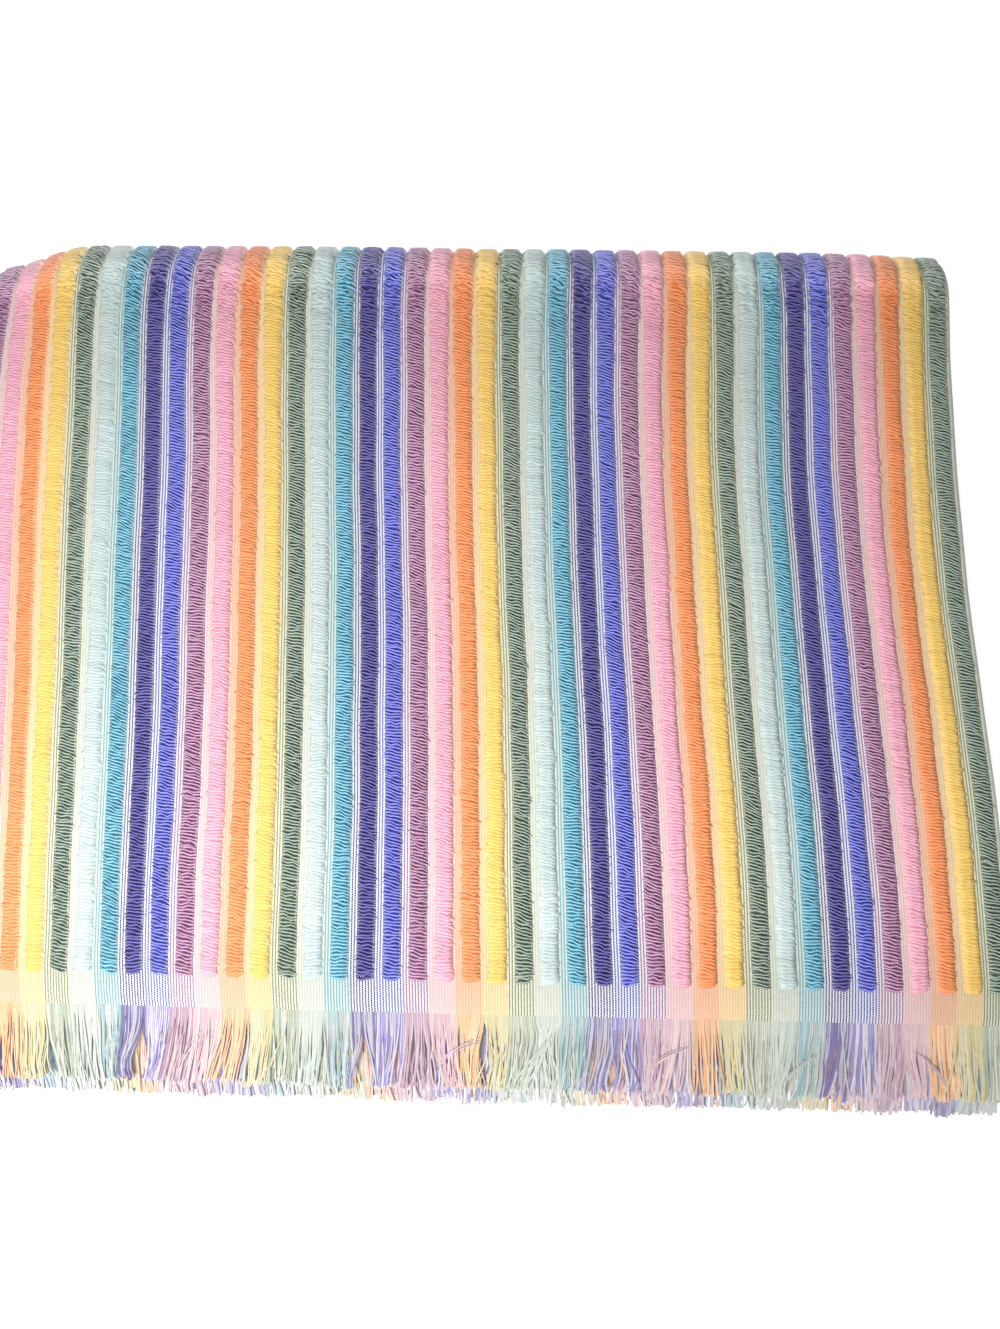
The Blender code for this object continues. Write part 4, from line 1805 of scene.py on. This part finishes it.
    def _colour(self, zone: np.ndarray, pale: np.ndarray) -> None:
        """Adds the colours of new yarns.

        Args:
            zone: the stripe that each yarn grows from.
            pale: whether each is a pale yarn.
        """
        full = np.array([linear(stripe.yarn) for stripe in STRIPES])[zone]
        light = np.array([linear(stripe.pale_yarn) for stripe in STRIPES])[zone]
        shade = np.where(pale[:, None], light, full)
        shade[:, :3] *= 1 + self.chance.normal(0, self.shade_chance, (len(zone), 1))
        # Greys the yarns towards the painted shade colour.
        self.shades.append(shade + self.fade * (np.array(linear(self.painted_shade_grey)) - shade))

    def lay_across(self, stray: Stray) -> None:
        """Adds a few yarns that lie across the others.

        Args:
            stray: the yarns, and where they lie.
        """
        t, lines = self.share, []
        a, b = np.array(stray.start), np.array(stray.end)
        low, more = stray.lift_mm
        lift = (low + more * np.sin(math.pi * np.clip(t * stray.lift_turn, 0, 1))) * MM
        for shift in self.chance.normal(0, self.stray_shift, (stray.yarns, 2, 2)):
            run = (a + shift[0])[None, :] * (1 - t[:, None]) + (b + shift[1])[None, :] * t[:, None]
            run[:, 1] += stray.bow * np.sin(math.pi * t)
            z = self.drape(run[:, 1], np.array(self.root_y), 1, self.rows[0].lift)
            lines.append(self.cloth.lie(run[:, 0], run[:, 1], z + lift))
        self.lines.append(np.array(lines))
        self.thicks.append(np.full((stray.yarns, len(t)), self.radius * self.stray_width))
        zone = np.full(stray.yarns, stray.stripe)
        self._colour(zone, self.chance.random(stray.yarns) < self.stray_pale)

    def build(self) -> bpy.types.Object:
        """Makes every yarn as a thin cord, joined in one mesh.

        Returns:
            The piece, with each yarn's colour in the attribute "yarn".
        """
        for row in self.rows:
            self.grow(row)
        for stray in self.strays:
            self.lay_across(stray)
        lines, thicks, shades = (np.concatenate(p) for p in (self.lines, self.thicks, self.shades))
        tubes = tube_field(self.name, len(lines), self.sides, self.sections)
        along = np.gradient(lines, axis=1)
        along /= np.linalg.norm(along, axis=2, keepdims=True)
        beside = np.cross(along, (0.0, 0.0, 1.0))
        beside /= np.linalg.norm(beside, axis=2, keepdims=True)
        above = np.cross(beside, along)
        at = (tubes.number, tubes.station())
        offset = tubes.aside[:, None] * beside[at] + tubes.up[:, None] * above[at]
        move_points(tubes.piece, lines[at] + offset * thicks[at][:, None])
        store = tubes.piece.data.attributes.new("yarn", "FLOAT_COLOR", "POINT")
        store.data.foreach_set("color", shades[tubes.number].astype(np.float32).ravel())
        return tubes.piece


# Sideways lean of the yarns' tips along each fringe, as (x, lean).
TOP_LEAN = (
    (-0.26, -0.003), (-0.19, 0.000), (-0.172, -0.003), (-0.150, -0.009), (-0.115, -0.009),
    (-0.094, -0.006), (-0.075, -0.004), (-0.055, -0.001), (-0.035, -0.005), (-0.026, -0.005),
    (-0.022, 0.001), (0.0, 0.0), (0.03, -0.004), (0.06, -0.003), (0.085, -0.001),
    (0.098, -0.004), (0.108, 0.001), (0.12, 0.004), (0.14, 0.0), (0.16, -0.003),
    (0.178, -0.005), (0.19, 0.003), (0.21, 0.001), (0.24, 0.003), (0.26, 0.001),
)
UNDER_LEAN = (
    (-0.26, 0.0), (-0.2, 0.003), (-0.15, -0.003), (-0.08, 0.002), (0.0, -0.002),
    (0.07, 0.003), (0.13, 0.0), (0.18, 0.003), (0.26, 0.0),
)
TOP_PARTINGS = (
    Parting(0.0078, 0.08, 0.0038, 0.005, 0.65),
    Parting(-0.0178, 0.45, 0.0040, 0.004, 0.9),
    Parting(-0.050, 0.30, 0.0055, 0.006, 0.95),
    Parting(-0.157, 0.25, 0.0050, 0.008, 0.8),
    Parting(0.0355, 0.10, -0.0030, 0.006, 0.30),
    Parting(0.0355, 0.35, 0.0065, 0.006, 1.0),
    Parting(0.0700, 0.40, 0.0055, 0.006, 0.9),
    Parting(0.1560, 0.35, 0.0045, 0.005, 0.9),
    Parting(0.2080, 0.40, 0.0050, 0.006, 0.95),
    Parting(-0.205, 0.40, 0.0040, 0.005, 0.9),
)
TOP_STRAYS = (
    Stray((0.004, -0.012), (-0.0143, -0.025), 1, 4),
    Stray((0.1044, -0.014), (0.0845, -0.026), 1, 4),
    Stray((0.040, -0.010), (0.024, -0.031), 5, 3, 0.001),
    Stray((-0.088, -0.012), (-0.100, -0.034), 3, 3, 0.001),
    Stray((0.168, -0.016), (0.150, -0.030), 6, 3),
    Stray((0.214, -0.013), (0.229, -0.030), 0, 3),
    Stray((-0.128, -0.013), (-0.143, -0.033), 1, 3, 0.003),
)


def fringes_of(cloth: FoldedCloth) -> tuple[Fringe, Fringe]:
    """The fringes at the two ends of the cloth.

    Args:
        cloth: the folded cloth.

    Returns:
        The fringe on top and the one beneath it.
    """
    top = Fringe(
        cloth, "yarns_top", "fringe_top", height=cloth.top_ply, sink=cloth.stack.top_sink,
        out=0.0, up=1, seed=21, reach=0.0372, sections=8, gather=0.34, painted_glow=0.55, fluff=-0.04,
        rows=(YarnRow(1, 24, 0.0054, 0.0010, 1.10), YarnRow(-1, 18, 0.0037, 0.0015, 1.30)),
        lean=TOP_LEAN, partings=TOP_PARTINGS, strays=TOP_STRAYS,
    )
    under = Fringe(
        cloth, "yarns_under", "fringe_under", height=cloth.second_ply, sink=cloth.stack.second_sink,
        out=1.0, up=-1, seed=22, reach=0.0408, sections=7, gather=0.15, painted_glow=0.55, fluff=0.32,
        rows=(YarnRow(-1, 21, 0.0017, 0.0013, 1.2), YarnRow(1, 10, 0.0, 0.0015, 1.3)),
        # The under fringe lies in painted shade, greyed by its share.
        lean=UNDER_LEAN, evened=0.9, fade=0.30,
    )
    return top, under


# ---------------------------------------------------------------- the studio


@dataclass(frozen=True)
class Lamp:
    """One large soft lamp that looks at the towel."""

    name: str
    place: tuple[float, float, float]
    size: float
    power: float
    aim: tuple[float, float, float] = (0.0, 0.0, 0.02)

    def build(self) -> None:
        """Hangs the lamp, out of the camera's sight."""
        data = bpy.data.lights.new(self.name, "AREA")
        data.shape = "DISK"
        data.size = self.size
        data.energy = self.power
        lamp = bpy.data.objects.new(self.name, data)
        lamp.location = self.place
        lamp.visible_camera = False
        sight = Vector(self.aim) - Vector(self.place)
        lamp.rotation_euler = sight.to_track_quat("-Z", "Y").to_euler()
        bpy.context.scene.collection.objects.link(lamp)


@dataclass
class Studio:
    """Floor, light and camera."""

    cloth: FoldedCloth
    place: tuple[float, float, float] = (0.0212, 0.1096, 0.4652)
    tilt: float = 7.828
    roll: float = -4.535
    yaw: float = 3.574
    focal_px: float = 868.2
    height_px: int = 1329
    sensor: float = 36.0
    clip_start: float = 0.01
    white: tuple[float, float, float, float] = (1.0, 1.0, 1.0, 1.0)
    daylight: float = 0.40
    lamps: tuple[Lamp, ...] = (
        Lamp("key", (-0.31, -0.465, 0.56), 0.54, 15.5),
        Lamp("back", (0.02, 1.10, 0.24), 0.70, 5.5),
    )
    floor_half: float = 4.0
    floor_z: float = -0.0002
    floor_grey: float = 0.45
    floor_glow: float = 0.78
    floor_roughness: float = 0.8
    floor_specular: float = 0.1

    def floor(self) -> None:
        """A plain pale floor."""
        bm = bmesh.new()
        down = Matrix.Translation((0.0, 0.0, self.floor_z))
        bmesh.ops.create_grid(bm, x_segments=1, y_segments=1, size=self.floor_half, matrix=down)
        floor = object_of(bm, "floor")
        material = bpy.data.materials.new("floor_paint")
        material.use_nodes = True
        settings = {
            "Base Color": (self.floor_grey, self.floor_grey, self.floor_grey, 1.0),
            "Emission Color": self.white,
            "Emission Strength": self.floor_glow,
            "Roughness": self.floor_roughness,
            "Specular IOR Level": self.floor_specular,
        }
        shader = material.node_tree.nodes["Principled BSDF"]
        for name, value in settings.items():
            shader.inputs[name].default_value = value
        floor.data.materials.append(material)

    def lights(self) -> None:
        """Soft daylight from all round, a soft key from the lower left and a weak light behind."""
        world = bpy.data.worlds.new("studio")
        bpy.context.scene.world = world
        world.use_nodes = True
        back = world.node_tree.nodes["Background"]
        back.inputs["Color"].default_value = self.white
        back.inputs["Strength"].default_value = self.daylight
        for lamp in self.lamps:
            lamp.build()

    def camera(self) -> None:
        """The photograph's view."""
        tilt, roll, yaw = (math.radians(v) for v in (self.tilt, self.roll, self.yaw))
        aim = Vector((0, math.sin(tilt), -math.cos(tilt)))
        up = Vector((0, math.cos(tilt), math.sin(tilt)))
        right = Vector((1, 0, 0))
        turn = Matrix.Rotation(yaw, 3, "Z")
        rolled = math.cos(roll) * right + math.sin(roll) * up
        top = -math.sin(roll) * right + math.cos(roll) * up
        axes = Matrix((turn @ rolled, turn @ top, -(turn @ aim))).transposed()
        data = bpy.data.cameras.new("photo_view")
        data.sensor_width = self.sensor
        data.lens = self.focal_px / self.height_px * self.sensor
        data.clip_start = self.clip_start
        camera = bpy.data.objects.new("photo_view", data)
        where = Vector(self.place) + self.cloth.shift
        camera.matrix_world = Matrix.Translation(where) @ axes.to_4x4()
        bpy.context.scene.collection.objects.link(camera)
        bpy.context.scene.camera = camera

    def build(self) -> None:
        """Sets the stage."""
        self.floor()
        self.lights()
        self.camera()
        bpy.context.scene.view_settings.view_transform = "Standard"


def build_pile(cloth: FoldedCloth, detail: bpy.types.NodeTree) -> list[bpy.types.Object]:
    """Builds every rib: its rows and feet on top, and the bars at the sides of the stack.

    Args:
        cloth: the folded cloth.
        detail: the cotton detail group.

    Returns:
        The pieces.
    """
    piles = [PileFinish(stripe, detail).build() for stripe in STRIPES]
    pieces = []
    for i, pile in enumerate(piles):
        rows = PileRows(cloth, i)
        for piece in (rows.build(), rows.bed()):
            dress(piece, pile, "towel")
            pieces.append(piece)
    for stripe, bars in HiddenRibs(cloth).build():
        dress(bars, piles[stripe], "towel")
        pieces.append(bars)
    return pieces


def main() -> None:
    """Builds every piece in order, and reports each."""
    logging.basicConfig(level=logging.INFO, format="%(message)s")
    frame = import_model()
    LOG.info("the frame has %d nodes", len(frame["nodes"]))
    cloth = FoldedCloth(Weave(), Stack())
    detail, lines = CottonDetail().build(), WarpLines().build()
    ground = GroundCloth(cloth).build()
    dress(ground, FlatFinish(detail, lines).build(), "towel")
    on_cloth = build_pile(cloth, detail)
    for fringe in fringes_of(cloth):
        yarns = fringe.build()
        finish = YarnFinish(f"{fringe.name}_cotton", fringe.painted_glow, detail)
        dress(yarns, finish.build(), fringe.node)
        on_cloth.append(yarns)
    LOG.info("cloth %.4f by %.4f m", cloth.width, cloth.length)
    Studio(cloth).build()


if __name__ == "__main__":
    main()
